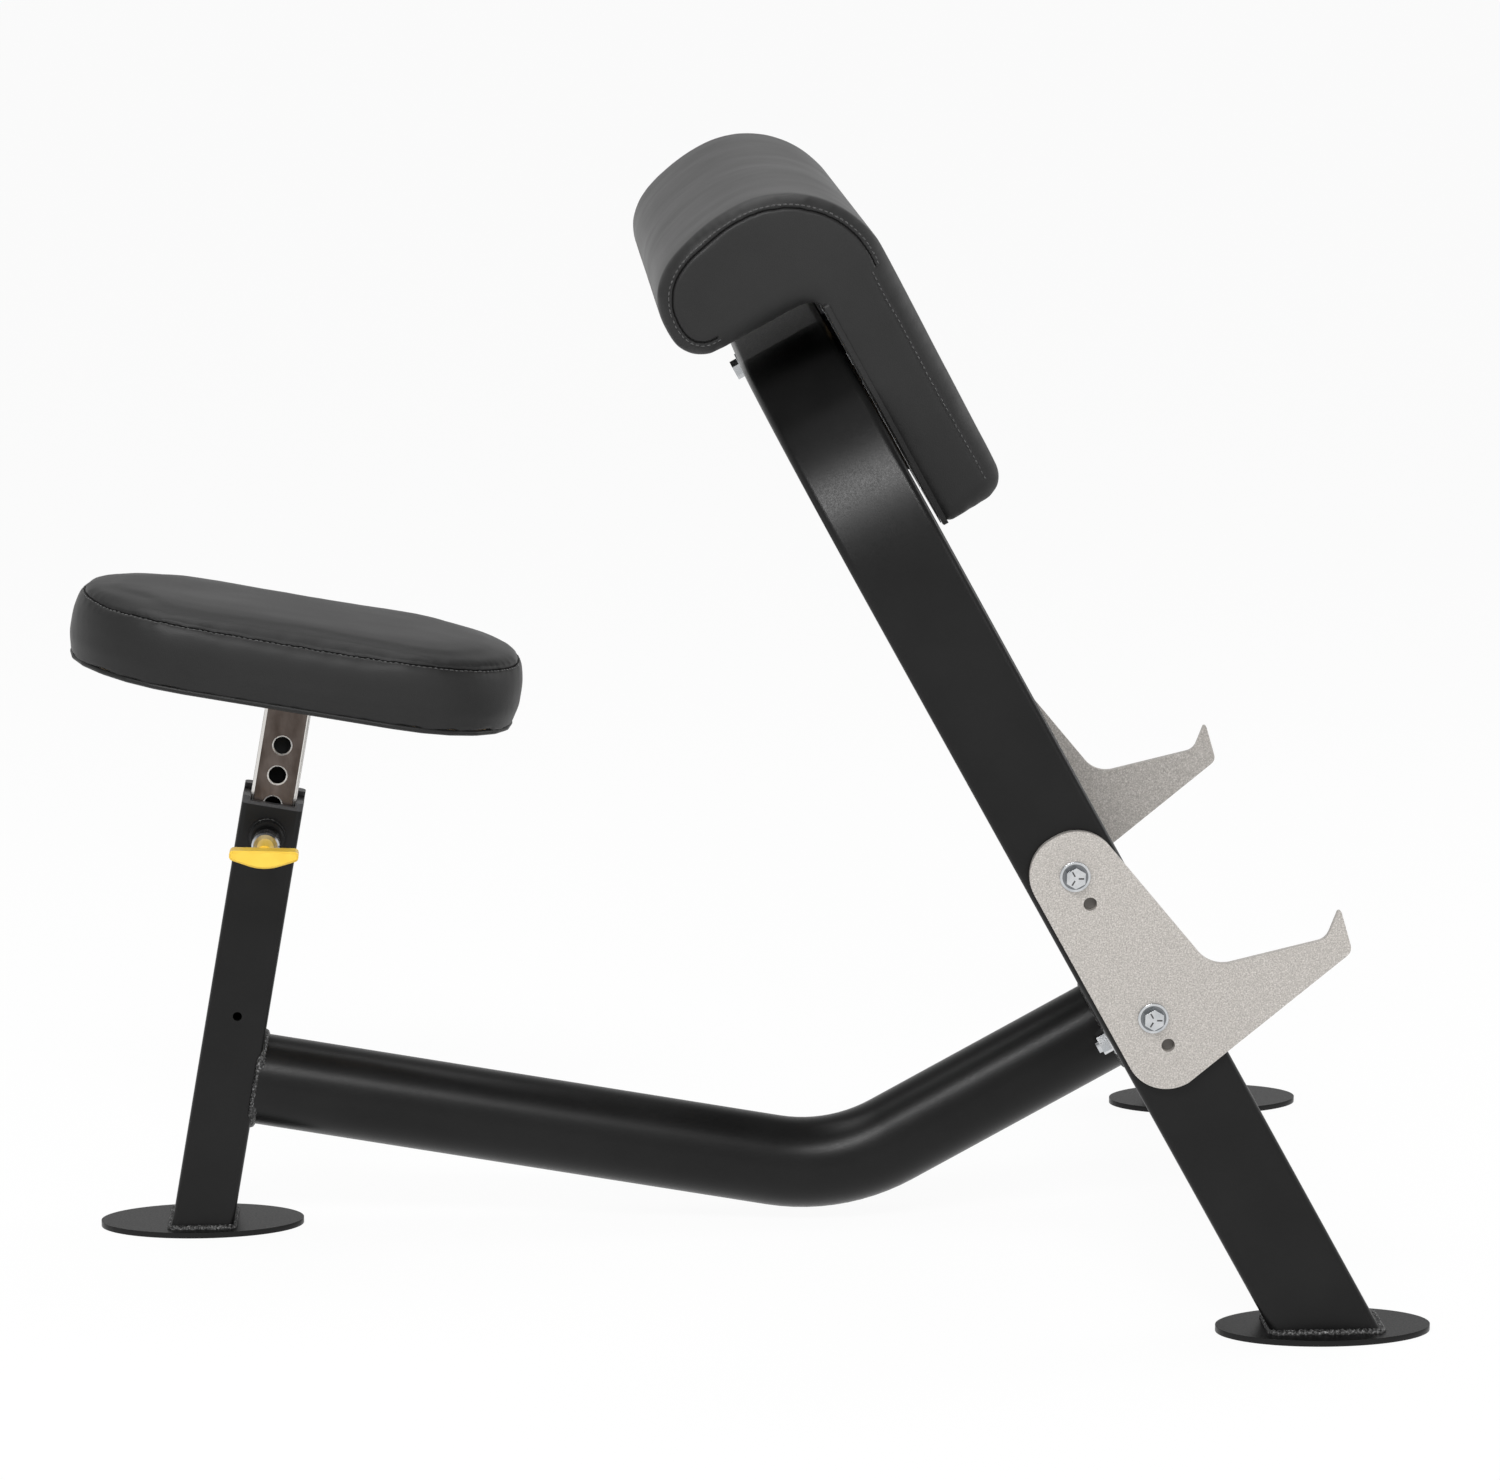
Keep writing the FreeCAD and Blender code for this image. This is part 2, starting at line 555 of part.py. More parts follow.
spine_path.addConstraint(Sketcher.Constraint("Tangent", 1, 2, 2, 1))
dimension(spine_path, Sketcher.Constraint("Distance", 0, first), "Places.main_first")
dimension(spine_path, Sketcher.Constraint("Radius", 1, bend), "Sizes.main_bend")
dimension(spine_path, Sketcher.Constraint("Distance", 2, last), "Places.main_last")
dimension(spine_path, Sketcher.Constraint("Angle", 2, turn), "Places.turn")
spine_section = new_sketch(spine, "YZ_Plane", "section")
draw_circle(spine_section, "0", "0", "Sizes.main_diameter")
draw_circle(spine_section, "0", "0", "Sizes.main_diameter - 2 * Sizes.main_wall")
spine_pipe = spine.newObject("PartDesign::AdditivePipe", "spine_pipe")
spine_pipe.Profile = spine_section
spine_pipe.Spine = spine_path
doc.recompute()

# Flange on the spine's end, bolted to the brace
flange = new_body("tube_flange", "arch")
flange_outline = new_sketch(flange, "YZ_Plane", "outline", offset="-Places.flange_face")
draw_block(flange_outline, "Sizes.flange_width", "Sizes.main_diameter", "Sizes.brace_corner",
           y="Sizes.brace_level")
pad(flange, flange_outline, "Sizes.flange_thickness")
flange_holes(flange)


# Fasteners: hexagon heads and nuts, shanks and washers, gathered into groups
def put(item, turn_to, x, y, z):
    """Turn a fastener from +Z to its direction and tie its place to the sheet."""
    item.Placement = FreeCAD.Placement(Vector(value(x), value(y), value(z)), turn_to)
    for axis, formula in (("x", x), ("y", y), ("z", z)):
        item.setExpression(f"Placement.Base.{axis}", str(formula))
    return item


def new_cylinder(name, diameter, height):
    item = doc.addObject("Part::Cylinder", name)
    item.setExpression("Radius", f"({diameter}) / 2")
    item.setExpression("Height", height)
    return item


def new_hexagon(name, flats, height):
    item = doc.addObject("Part::Prism", name)
    item.Polygon = 6
    item.setExpression("Circumradius", f"{flats} / 2 / cos(30)")
    item.setExpression("Height", height)
    return item


def new_ring(name, outside, inside, height):
    """A washer or nut blank with its hole, starting at its own origin and running along +Z."""
    ring = doc.addObject("Part::Cut", name)
    ring.Base = outside
    ring.Tool = new_cylinder(name + "_hole", inside, height)
    return ring


def new_bolt(name, flats, head, diameter, length):
    """A bolt whose head ends at its own origin, with the shank along +Z from there."""
    top = new_hexagon(name + "_head", flats, head)
    top.setExpression("Placement.Base.z", f"-({head})")
    bolt = doc.addObject("Part::Fuse", name)
    bolt.Base = top
    bolt.Tool = new_cylinder(name + "_shank", diameter, length)
    return bolt


def gather(label, items, frame):
    group = doc.addObject("Part::Compound", label)
    group.Label = label
    group.Links = items
    seat_in_frame(group, frame)
    finished.append(group)


def new_washer(name):
    outside = new_cylinder(name + "_disc", "Sizes.washer_diameter", "Sizes.washer_thickness")
    return new_ring(name, outside, "Sizes.bolt_hole", "Sizes.washer_thickness")


def new_nut(name):
    outside = new_hexagon(name + "_hexagon", "Sizes.bolt_flats", "Sizes.nut_height")
    return new_ring(name, outside, "Sizes.bolt_diameter", "Sizes.nut_height")


def plain_bolt(name, grip):
    return new_bolt(name, "Sizes.bolt_flats", "Sizes.bolt_head", "Sizes.bolt_diameter", grip)


flange_bolts, flange_washers, flange_nuts = [], [], []
flange_grip = ("Sizes.brace_depth + Sizes.flange_thickness + 2 * Sizes.washer_thickness"
               " + Sizes.nut_height + Sizes.bolt_end")
for number, side in enumerate(("-", "")):
    y = f"{side}Sizes.flange_bolt_spacing / 2"
    level = "Sizes.brace_level"
    front = "Sizes.brace_depth / 2 + Sizes.washer_thickness"
    flange_bolts.append(put(plain_bolt(f"flange_bolt_{number}", flange_grip), AGAINST_X, front, y, level))
    flange_washers.append(put(new_washer(f"flange_front_{number}"), AGAINST_X, front, y, level))
    rear = "-Places.flange_face"
    flange_washers.append(put(new_washer(f"flange_rear_{number}"), AGAINST_X, rear, y, level))
    nut_seat = "-Places.flange_face - Sizes.washer_thickness"
    flange_nuts.append(put(new_nut(f"flange_nut_{number}"), AGAINST_X, nut_seat, y, level))
gather("flange_bolts", flange_bolts, "arch")
gather("flange_washers", flange_washers, "arch")
gather("flange_nuts", flange_nuts, "arch")


# Bar catches: a plate on each leg's outer face, with a valley for the bar and a horn
def bar_catch(label, offset):
    body = new_body(label, "arch")
    outline = new_sketch(body, "XZ_Plane", "outline", offset=offset)
    upper = "Sizes.catch_upper"
    draw_outline(outline, [
        ("-Sizes.catch_half_width", "Places.catch_bottom", "Sizes.catch_lobe"),
        ("Sizes.catch_chin", "Places.catch_bottom", "Sizes.chin_radius"),
        ("Sizes.horn_outer_n", f"{upper} - Sizes.horn_outer_drop", "Sizes.horn_outer_radius"),
        ("Sizes.horn_tip_n", f"{upper} - Sizes.horn_tip_drop", "Sizes.horn_tip_radius"),
        ("Sizes.horn_inner_n", f"{upper} - Sizes.horn_inner_drop", "Sizes.horn_inner_radius"),
        ("Sizes.valley_n", f"{upper} - Sizes.valley_drop", "Sizes.valley_radius"),
        ("Sizes.catch_brow", "Places.catch_top", "Sizes.catch_lobe"),
        ("-Sizes.catch_half_width", "Places.catch_top", "Sizes.catch_lobe"),
    ])
    pad(body, outline, "Sizes.catch_thickness")
    holes = new_sketch(body, "XZ_Plane", "holes")
    for level in (upper, "Places.catch_lower"):
        draw_circle(holes, "0", level, "Sizes.bolt_hole")
        draw_circle(holes, "0", f"{level} - Sizes.catch_hole_drop", "Sizes.bolt_hole")
    cut_through(body, holes)


bar_catch("bar_catch_right", "Places.leg_face_y")
bar_catch("bar_catch_left", "-Places.leg_face_y - Sizes.catch_thickness")

catch_bolts, catch_washers, catch_nuts = [], [], []
catch_grip = ("Sizes.leg_width + Sizes.catch_thickness + 2 * Sizes.washer_thickness"
              " + Sizes.nut_height + Sizes.bolt_end")
for side, inward in (("-", ALONG_Y), ("", AGAINST_Y)):
    for level_name, level in (("upper", "Sizes.catch_upper"), ("lower", "Places.catch_lower")):
        name = ("right_" if side else "left_") + level_name
        outer = f"{side}(Places.leg_face_y + Sizes.catch_thickness + Sizes.washer_thickness)"
        catch_bolts.append(put(plain_bolt(f"catch_bolt_{name}", catch_grip), inward, "0", outer, level))
        catch_washers.append(put(new_washer(f"catch_outer_{name}"), inward, "0", outer, level))
        inner = f"{side}Places.leg_inner_y"
        catch_washers.append(put(new_washer(f"catch_inner_{name}"), inward, "0", inner, level))
        nut_seat = f"{side}(Places.leg_inner_y - Sizes.washer_thickness)"
        catch_nuts.append(put(new_nut(f"catch_nut_{name}"), inward, "0", nut_seat, level))
gather("catch_bolts", catch_bolts, "arch")
gather("catch_washers", catch_washers, "arch")
gather("catch_nuts", catch_nuts, "arch")

# Seat post with the pin's hole and the small hole below it, both in the right face
post = new_body("seat_post", "post")
post_section = new_sketch(post, "XY_Plane", "section", offset="-Sizes.post_depth")
draw_tube(post_section, "Sizes.post_depth", "Sizes.post_width", "Sizes.post_wall", "Sizes.post_corner")
pad(post, post_section, "Sizes.post_top + Sizes.post_depth")
cut_at_floor(post, "Sizes.tilt", "Sizes.post_depth")
post_holes = new_sketch(post, "XZ_Plane", "holes")
draw_circle(post_holes, "0", "Places.pin_height", "Sizes.barrel_thread")
draw_circle(post_holes, "0", "Sizes.drain_level", "Sizes.drain_hole")
cut_through(post, post_holes, symmetric=False, reverse=True)

# Sleeve between the two tubes, with a slotted rim
sleeve = new_body("post_sleeve", "post")
sleeve_depth_inside = "(Places.inner_depth + 2 * Sizes.slide_clearance)"
sleeve_width_inside = "(Places.inner_width + 2 * Sizes.slide_clearance)"
sleeve_corner_inside = "Sizes.inner_corner - Sizes.slide_clearance"
sleeve_liner = new_sketch(sleeve, "XY_Plane", "liner", offset="Sizes.post_top - Sizes.sleeve_depth")
liner_skin = "2 * (Sizes.post_wall + Sizes.sleeve_clearance)"
draw_block(sleeve_liner, f"Sizes.post_depth - {liner_skin}", f"Sizes.post_width - {liner_skin}", "0")
draw_block(sleeve_liner, sleeve_depth_inside, sleeve_width_inside, sleeve_corner_inside)
pad(sleeve, sleeve_liner, "Sizes.sleeve_depth")
sleeve_rim = new_sketch(sleeve, "XY_Plane", "rim", offset="Sizes.post_top")
draw_block(sleeve_rim, "Sizes.post_depth", "Sizes.post_width", "Sizes.post_corner")
draw_block(sleeve_rim, sleeve_depth_inside, sleeve_width_inside, sleeve_corner_inside)
pad(sleeve, sleeve_rim, "Sizes.sleeve_flange")
for name, wide, high in (("slot_x", "2 * Sizes.post_depth", "Sizes.sleeve_slot"),
                         ("slot_y", "Sizes.sleeve_slot", "2 * Sizes.post_width")):
    slot = new_sketch(sleeve, "XY_Plane", name, offset="Sizes.post_top + Sizes.sleeve_flange")
    draw_block(slot, wide, high, "0")
    cut_depth(sleeve, slot, "Sizes.sleeve_slot_depth")
sleeve_hole = new_sketch(sleeve, "XZ_Plane", "hole")
draw_circle(sleeve_hole, "0", "Places.pin_height", "Sizes.pin_hole")
cut_through(sleeve, sleeve_hole, symmetric=False, reverse=True)

# Inner post with its row of bevelled height holes in the right face
inner = new_body("inner_post", "post")
inner_section = new_sketch(inner, "XY_Plane", "section", offset="Places.inner_end")
draw_tube(inner_section, "Places.inner_depth", "Places.inner_width", "Sizes.inner_wall", "Sizes.inner_corner")
pad(inner, inner_section, "Places.seat_plate_bottom - Places.inner_end")
height_hole = new_sketch(inner, "XZ_Plane", "hole")
draw_circle(height_hole, "0", "Places.lowest_hole", "Sizes.hole_diameter")
height_cut = cut_through(inner, height_hole, symmetric=False, reverse=True)
row_of_holes = inner.newObject("PartDesign::LinearPattern", "row_of_holes")
row_of_holes.Originals = [height_cut]
row_of_holes.Direction = (height_hole, ["V_Axis"])
row_of_holes.setExpression("Length", "(Sizes.hole_count - 1) * Sizes.hole_pitch")
row_of_holes.setExpression("Occurrences", "Sizes.hole_count")
inner.Tip = row_of_holes
doc.recompute()
face_y = -value("Places.inner_face")
mouths = edge_names(row_of_holes, lambda e: isinstance(e.Curve, Part.Circle)
                    and abs(e.BoundBox.YMin - face_y) < 0.01 and e.BoundBox.YLength < 0.01
                    and abs(e.Curve.Radius - value("Sizes.hole_diameter") / 2) < 0.01)
assert len(mouths) == round(value("Sizes.hole_count")), "a height hole is missing"
dress(inner, "Chamfer", row_of_holes, mouths, "Sizes.hole_chamfer")


# Pull pin: boss on the post, barrel in the boss, plunger and handle
def turned(label, profile):
    """A round piece about the pin's axis, from a half profile of (distance from the post, radius)."""
    body = new_body(label, "post")
    sketch = new_sketch(body, "XY_Plane", "profile", offset="Places.pin_height")
    draw_outline(sketch, [(radius, f"-({along})", "0") for along, radius in profile])
    feature = body.newObject("PartDesign::Revolution", label + "_turned")
    feature.Profile = sketch
    feature.ReferenceAxis = (sketch, ["V_Axis"])
    feature.Angle = 360
    doc.recompute()
    return body


boss_end = "Places.post_face + Sizes.boss_length"
thread_radius = "Sizes.barrel_thread / 2"
bore_radius = "Sizes.pin_diameter / 2 + Sizes.pin_clearance"
turned("pin_boss", [
    ("Places.post_face", thread_radius),
    (boss_end, thread_radius),
    (boss_end, "Sizes.boss_diameter / 2 - Sizes.barrel_bevel"),
    (f"{boss_end} - Sizes.barrel_bevel", "Sizes.boss_diameter / 2"),
    ("Places.post_face", "Sizes.boss_diameter / 2"),
])
turned("pin_barrel", [
    ("Places.post_face - Sizes.post_wall", bore_radius),
    ("Places.cap_face", bore_radius),
    ("Places.cap_face", "Sizes.tail_diameter / 2 + Sizes.pin_clearance"),
    ("Places.barrel_end", "Sizes.tail_diameter / 2 + Sizes.pin_clearance"),
    ("Places.barrel_end", "Sizes.barrel_diameter / 2 - Sizes.barrel_bevel"),
    ("Places.barrel_end - Sizes.barrel_bevel", "Sizes.barrel_diameter / 2"),
    (boss_end, "Sizes.barrel_diameter / 2"),
    (boss_end, thread_radius),
    ("Places.post_face - Sizes.post_wall", thread_radius),
])
turned("plunger", [
    ("Places.plunger_tip", "0"),
    ("Places.plunger_end", "0"),
    ("Places.plunger_end", "Sizes.tail_diameter / 2"),
    ("Places.plunger_shoulder", "Sizes.tail_diameter / 2"),
    ("Places.plunger_shoulder", "Sizes.pin_diameter / 2"),
    ("Places.plunger_tip + Sizes.pin_nose", "Sizes.pin_diameter / 2"),
    ("Places.plunger_tip", "Sizes.pin_diameter / 2 - Sizes.pin_nose"),
])

handle = new_body("pull_handle", "handle")
stem = new_sketch(handle, "XZ_Plane", "stem", offset="Places.handle_start")
draw_circle(stem, "0", "0", "Sizes.stem_diameter")
pad(handle, stem, "Sizes.stem_length")
grip_outline = new_sketch(handle, "XZ_Plane", "grip", offset="Places.grip_start")
draw_outline(grip_outline, [
    ("-Sizes.grip_width / 2", "-Sizes.grip_end", "Sizes.grip_corner"),
    ("0", "-Sizes.grip_belly", "Sizes.grip_belly_radius"),
    ("Sizes.grip_width / 2", "-Sizes.grip_end", "Sizes.grip_corner"),
    ("Sizes.grip_width / 2", "Sizes.grip_top", "Sizes.grip_top_corner"),
    ("-Sizes.grip_width / 2", "Sizes.grip_top", "Sizes.grip_top_corner"),
])
grip = pad(handle, grip_outline, "Sizes.grip_thickness")
outer_y = -value("Places.grip_start + Sizes.grip_thickness")
rims = edge_names(grip, lambda e: abs(e.BoundBox.YMin - outer_y) < 0.01 and e.BoundBox.YLength < 0.01)
dress(handle, "Chamfer", grip, rims, "Sizes.grip_edge")
socket = new_sketch(handle, "XZ_Plane", "socket", offset="Places.handle_start")
draw_circle(socket, "0", "0", "Sizes.tail_diameter")
cut_depth(handle, socket, "Sizes.pin_socket", reverse=True)


def plate_holes(body, spots, diameter):
    sketch = new_sketch(body, "XY_Plane", "holes")
    for x, y in spots:
        draw_circle(sketch, x, y, diameter)
    cut_through(body, sketch)


def join_rings(body, rings):
    """A closed form through like outlines, with straight runs from each to the next."""
    form = body.newObject("PartDesign::AdditiveLoft", body.Name + "_form")
    form.Profile = rings[0]
    form.Sections = rings[1:]
    form.Ruled = True
    doc.recompute()


# Seat: steel plate on the inner post, board, screws and a crowned cushion
seat_spots = []
for side_x in ("-", ""):
    for side_y in ("-", ""):
        seat_spots.append((f"{side_x}Sizes.seat_screw_x / 2", f"{side_y}Sizes.seat_screw_y / 2"))
seat_plate = new_body("seat_plate", "post")
seat_plate_outline = new_sketch(seat_plate, "XY_Plane", "outline", offset="Places.seat_plate_bottom")
draw_block(seat_plate_outline, "Sizes.seat_plate_length", "Sizes.seat_plate_width", "Sizes.post_corner")
pad(seat_plate, seat_plate_outline, "Sizes.seat_plate_thickness")
plate_holes(seat_plate, seat_spots, "Sizes.screw_hole")

board_length = "Sizes.seat_length - 2 * Sizes.board_margin"
board_width = "Sizes.seat_width - 2 * Sizes.board_margin"
board_corner = "Sizes.seat_corner - Sizes.board_margin"
seat_board = new_body("seat_board", "post")
seat_board_outline = new_sketch(seat_board, "XY_Plane", "outline", offset="Places.seat_height")
draw_block(seat_board_outline, board_length, board_width, board_corner)
pad(seat_board, seat_board_outline, "Sizes.board_thickness")
plate_holes(seat_board, seat_spots, "Sizes.screw_diameter")

seat_screws = []
for number, (x, y) in enumerate(seat_spots):
    screw = new_bolt(f"seat_screw_{number}", "Sizes.screw_flats", "Sizes.screw_head",
                     "Sizes.screw_diameter", "Sizes.seat_plate_thickness + Sizes.screw_bite")
    seat_screws.append(put(screw, UPWARD, x, y, "Places.seat_plate_bottom"))
gather("seat_screws", seat_screws, "post")

cushion = new_body("seat_cushion", "post")
BAND_STEPS = 3
CROWN_STEPS = 4
seat_floor = "Places.seat_height + Sizes.soft_clearance"
band_height = "(Sizes.seat_side - Sizes.soft_clearance)"


def cushion_ring(name, level, inset):
    """The seat's plan at one level, drawn in by an inset."""
    ring = new_sketch(cushion, "XY_Plane", name, offset=level)
    draw_block(ring, f"Sizes.seat_length - 2 * ({inset})", f"Sizes.seat_width - 2 * ({inset})",
               f"Sizes.seat_corner - ({inset})")
    return ring


rings = []
for step in range(BAND_STEPS):
    rise = step / BAND_STEPS
    rings.append(cushion_ring(f"band_{step}", f"{seat_floor} + {band_height} * {rise}",
                              f"Sizes.seat_pinch * {(2 * rise - 1) ** 2}"))
for step in range(CROWN_STEPS + 1):
    angle = 90 * step / CROWN_STEPS
    level = f"Places.seat_height + Sizes.seat_side + Sizes.seat_crown * sin({angle})"
    rings.append(cushion_ring(f"crown_{step}", level,
                              f"Sizes.seat_pinch + Sizes.crown_inset * (1 - cos({angle}))"))
join_rings(cushion, rings)
board_space = new_sketch(cushion, "XY_Plane", "board_space", offset=seat_floor)
room = "2 * Sizes.soft_clearance"
draw_block(board_space, f"{board_length} + {room}", f"{board_width} + {room}",
           f"{board_corner} + Sizes.soft_clearance")
cut_depth(cushion, board_space, "Sizes.board_thickness", reverse=True)

# Arm pad: steel plate on the arch's crossing, board, bolt and screws, and the rolled cushion
pad_plate = new_body("pad_plate", "arch")
pad_plate_outline = new_sketch(pad_plate, "YZ_Plane", "outline", offset="Sizes.leg_depth / 2")
plate_bottom = "Sizes.arch_height - Sizes.leg_width - Sizes.pad_plate_drop"
draw_outline(pad_plate_outline, [
    ("-Sizes.pad_plate_width / 2", plate_bottom, "Sizes.brace_corner"),
    ("Sizes.pad_plate_width / 2", plate_bottom, "Sizes.brace_corner"),
    ("Sizes.pad_plate_width / 2", "Sizes.arch_height", "Sizes.brace_corner"),
    ("-Sizes.pad_plate_width / 2", "Sizes.arch_height", "Sizes.brace_corner"),
])
pad(pad_plate, pad_plate_outline, "Sizes.pad_plate_thickness")
pad_screw_level = "Sizes.arch_height - Sizes.leg_width - Sizes.pad_screw_drop"


def pad_holes(body, screw_hole):
    sketch = new_sketch(body, "YZ_Plane", "holes")
    draw_circle(sketch, "0", "Places.crossing_level", "Sizes.bolt_hole")
    for side in ("-", ""):
        draw_circle(sketch, f"{side}Sizes.pad_screw_spacing / 2", pad_screw_level, screw_hole)
    cut_through(body, sketch)


pad_holes(pad_plate, "Sizes.screw_hole")

pad_board = new_body("pad_board", "arch")
pad_board_outline = new_sketch(pad_board, "YZ_Plane", "outline", offset="Places.pad_back")
board_half = "(Sizes.pad_width / 2 - Sizes.board_margin)"
board_low = "Places.pad_low + Sizes.board_margin"
board_high = "Places.roll_low - Sizes.pad_inner_radius - Sizes.soft_clearance"
draw_outline(pad_board_outline, [
    (f"-{board_half}", board_low, "Sizes.brace_corner"),
    (board_half, board_low, "Sizes.brace_corner"),
    (board_half, board_high, "Sizes.brace_corner"),
    (f"-{board_half}", board_high, "Sizes.brace_corner"),
])
pad(pad_board, pad_board_outline, "Sizes.board_thickness")
pad_holes(pad_board, "Sizes.screw_diameter")

bolt_seat = "-Sizes.leg_depth / 2 - Sizes.washer_thickness"
pad_grip = "Sizes.leg_depth + Sizes.washer_thickness + Sizes.pad_plate_thickness + Sizes.screw_bite"
pad_bolt = put(plain_bolt("pad_bolt_one", pad_grip), ALONG_X, bolt_seat, "0", "Places.crossing_level")
pad_washer = put(new_washer("pad_washer_one"), ALONG_X, bolt_seat, "0", "Places.crossing_level")
gather("pad_bolt", [pad_bolt], "arch")
gather("pad_bolt_washer", [pad_washer], "arch")
pad_screws = []
for number, side in enumerate(("-", "")):
    screw = new_bolt(f"pad_screw_{number}", "Sizes.screw_flats", "Sizes.screw_head",
                     "Sizes.screw_diameter", "Sizes.pad_plate_thickness + Sizes.screw_bite")
    pad_screws.append(put(screw, ALONG_X, "Sizes.leg_depth / 2", f"{side}Sizes.pad_screw_spacing / 2",
                          pad_screw_level))
gather("pad_screws", pad_screws, "arch")

arm_pad = new_body("arm_pad", "arch")
END_STEPS = 2
soft_back = "Places.pad_back + Sizes.soft_clearance"


def pad_ring(name, y, inset):
    """The arm pad's section at one place across the bench, drawn in by an inset."""
    ring = new_sketch(arm_pad, "XZ_Plane", name, offset=f"-({y})")
    low, under = f"Places.pad_low + {inset}", f"Places.roll_low + {inset}"
    back, rear = f"{soft_back} + {inset}", f"-Sizes.roll_reach + {inset}"
    front = f"Places.pad_front - {inset}"
    draw_outline(ring, [
        (back, low, f"Sizes.pad_heel_radius - {inset}"),
        (f"Places.pad_toe - {inset}", low, f"Sizes.pad_toe_radius - {inset}"),
        (front, f"Places.roll_front_level - {inset}", f"Sizes.roll_front_radius - {inset}"),
        (rear, f"Places.roll_rear_level - {inset}", f"Sizes.roll_rear_radius - {inset}"),
        (rear, under, f"Sizes.roll_lip_radius - {inset}"),
        (back, under, f"Sizes.pad_inner_radius + {inset}"),
    ])
    return ring


end_angles = [90 * step / END_STEPS for step in range(END_STEPS + 1)]
pad_rings = []
for end, angles in (("right", end_angles), ("left", end_angles[::-1])):
    side = "-" if end == "right" else ""
    for angle in angles:
        across = f"{side}(Sizes.pad_width / 2 - Sizes.pad_end_radius * (1 - cos({angle})))"
        pad_rings.append(pad_ring(f"{end}_{angle:.0f}", across, f"Sizes.pad_end_radius * (1 - sin({angle}))"))
join_rings(arm_pad, pad_rings)
pad_board_space = new_sketch(arm_pad, "YZ_Plane", "board_space", offset=soft_back)
clear_half = f"({board_half} + Sizes.soft_clearance)"
draw_outline(pad_board_space, [
    (f"-{clear_half}", f"{board_low} - Sizes.soft_clearance", "Sizes.brace_corner"),
    (clear_half, f"{board_low} - Sizes.soft_clearance", "Sizes.brace_corner"),
    (clear_half, f"{board_high} + Sizes.soft_clearance", "Sizes.brace_corner"),
    (f"-{clear_half}", f"{board_high} + Sizes.soft_clearance", "Sizes.brace_corner"),
])
cut_depth(arm_pad, pad_board_space, "Sizes.board_thickness", reverse=True)

# Check every object, then write each piece to its own file
doc.recompute()
for item in doc.Objects:
    assert "Invalid" not in item.State and "Error" not in item.State, f"{item.Label} failed: {item.State}"
for item in finished:
    assert not item.Shape.isNull() and item.Shape.isValid(), f"{item.Label} has no valid shape"
    assert item.Shape.Solids, f"{item.Label} has no solid"
os.makedirs("parts", exist_ok=True)
for item in finished:
    item.Shape.exportStep(f"parts/{item.Label}.step")
print(f"{len(finished)} pieces written")
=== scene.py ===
import json
import math
import random

import bmesh
import bpy
from mathutils import Matrix, Vector
from mathutils.bvhtree import BVHTree
from mathutils.kdtree import KDTree


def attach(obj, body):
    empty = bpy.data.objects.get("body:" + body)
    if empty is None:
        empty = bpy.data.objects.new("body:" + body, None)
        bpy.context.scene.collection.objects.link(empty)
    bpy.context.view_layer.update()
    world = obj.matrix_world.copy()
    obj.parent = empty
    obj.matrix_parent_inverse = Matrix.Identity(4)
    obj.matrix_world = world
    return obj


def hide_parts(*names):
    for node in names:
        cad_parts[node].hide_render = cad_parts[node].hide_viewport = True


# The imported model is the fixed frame: metres, +X from the seat to the arch, +Y away from the camera, +Z up
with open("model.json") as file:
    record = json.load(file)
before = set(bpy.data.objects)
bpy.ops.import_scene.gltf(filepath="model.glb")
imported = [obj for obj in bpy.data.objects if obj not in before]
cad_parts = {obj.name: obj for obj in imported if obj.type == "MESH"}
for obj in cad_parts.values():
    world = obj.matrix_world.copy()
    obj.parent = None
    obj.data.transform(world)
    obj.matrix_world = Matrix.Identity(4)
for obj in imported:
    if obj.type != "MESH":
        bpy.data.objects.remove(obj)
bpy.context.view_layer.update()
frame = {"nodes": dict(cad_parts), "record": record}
nodes = frame["nodes"]
scene = bpy.context.scene
MM = 0.001
SIDES = {"right": -1, "left": 1}

# Stance of the bench
LEAN = math.radians(28.8)
TILT = math.radians(10.2)
ARCH_FOOT_X = 0.4567
POST_FOOT_X = -0.4405

# Steel sections, full sizes
LEG_DEPTH = 76.2 * MM
LEG_WIDTH = 50.8 * MM
LEG_CORNER = 6 * MM
LEG_Y = 340.6 * MM
BRACE_DEPTH = 63.5 * MM
BRACE_HEIGHT = 76.2 * MM
BRACE_LEVEL = 208.6 * MM
POST_DEPTH = 50.8 * MM
POST_WIDTH = 63.5 * MM
POST_CORNER = 5 * MM
INNER_DEPTH = 38.1 * MM
INNER_WIDTH = 50.8 * MM
INNER_CORNER = 4 * MM
TUBE_RADIUS = 38.1 * MM
TUBE_LEVEL = 132.6 * MM
FLANGE_FACE = -41.25 * MM
FOOT_TOP = 4.8 * MM
PIN_LEVEL = 345.6 * MM
BOSS_RADIUS = 14.3 * MM
SEAT_LEVEL = 466 * MM
SEAT_PLATE = 4.8 * MM

# Places where a finish changes, and where painted shade or highlight begins
BARREL_BREAK = -57 * MM
BEVEL_DEPTH = 1.25 * MM
BEVEL_SKIN = 0.03 * MM
HOLE_REACH = 8.6 * MM
# width of the painted highlight along the inner post's corners
EDGE_SHINE = 2.6 * MM
FACE_SKIN = 0.2 * MM
CATCH_BOLTS = (428.8 * MM, 300.3 * MM)
SPARE_HOLES = (403.8 * MM, 275.3 * MM)
SPARE_HOLE_RADIUS = 5.4 * MM
# radius of the painted shade ring on the catch washers
WASHER_SHADE_RADIUS = 10 * MM


def placed(base, place, turn=Matrix()):
    """A frame at a place in another frame, and turned there."""
    return base @ Matrix.Translation(place) @ turn


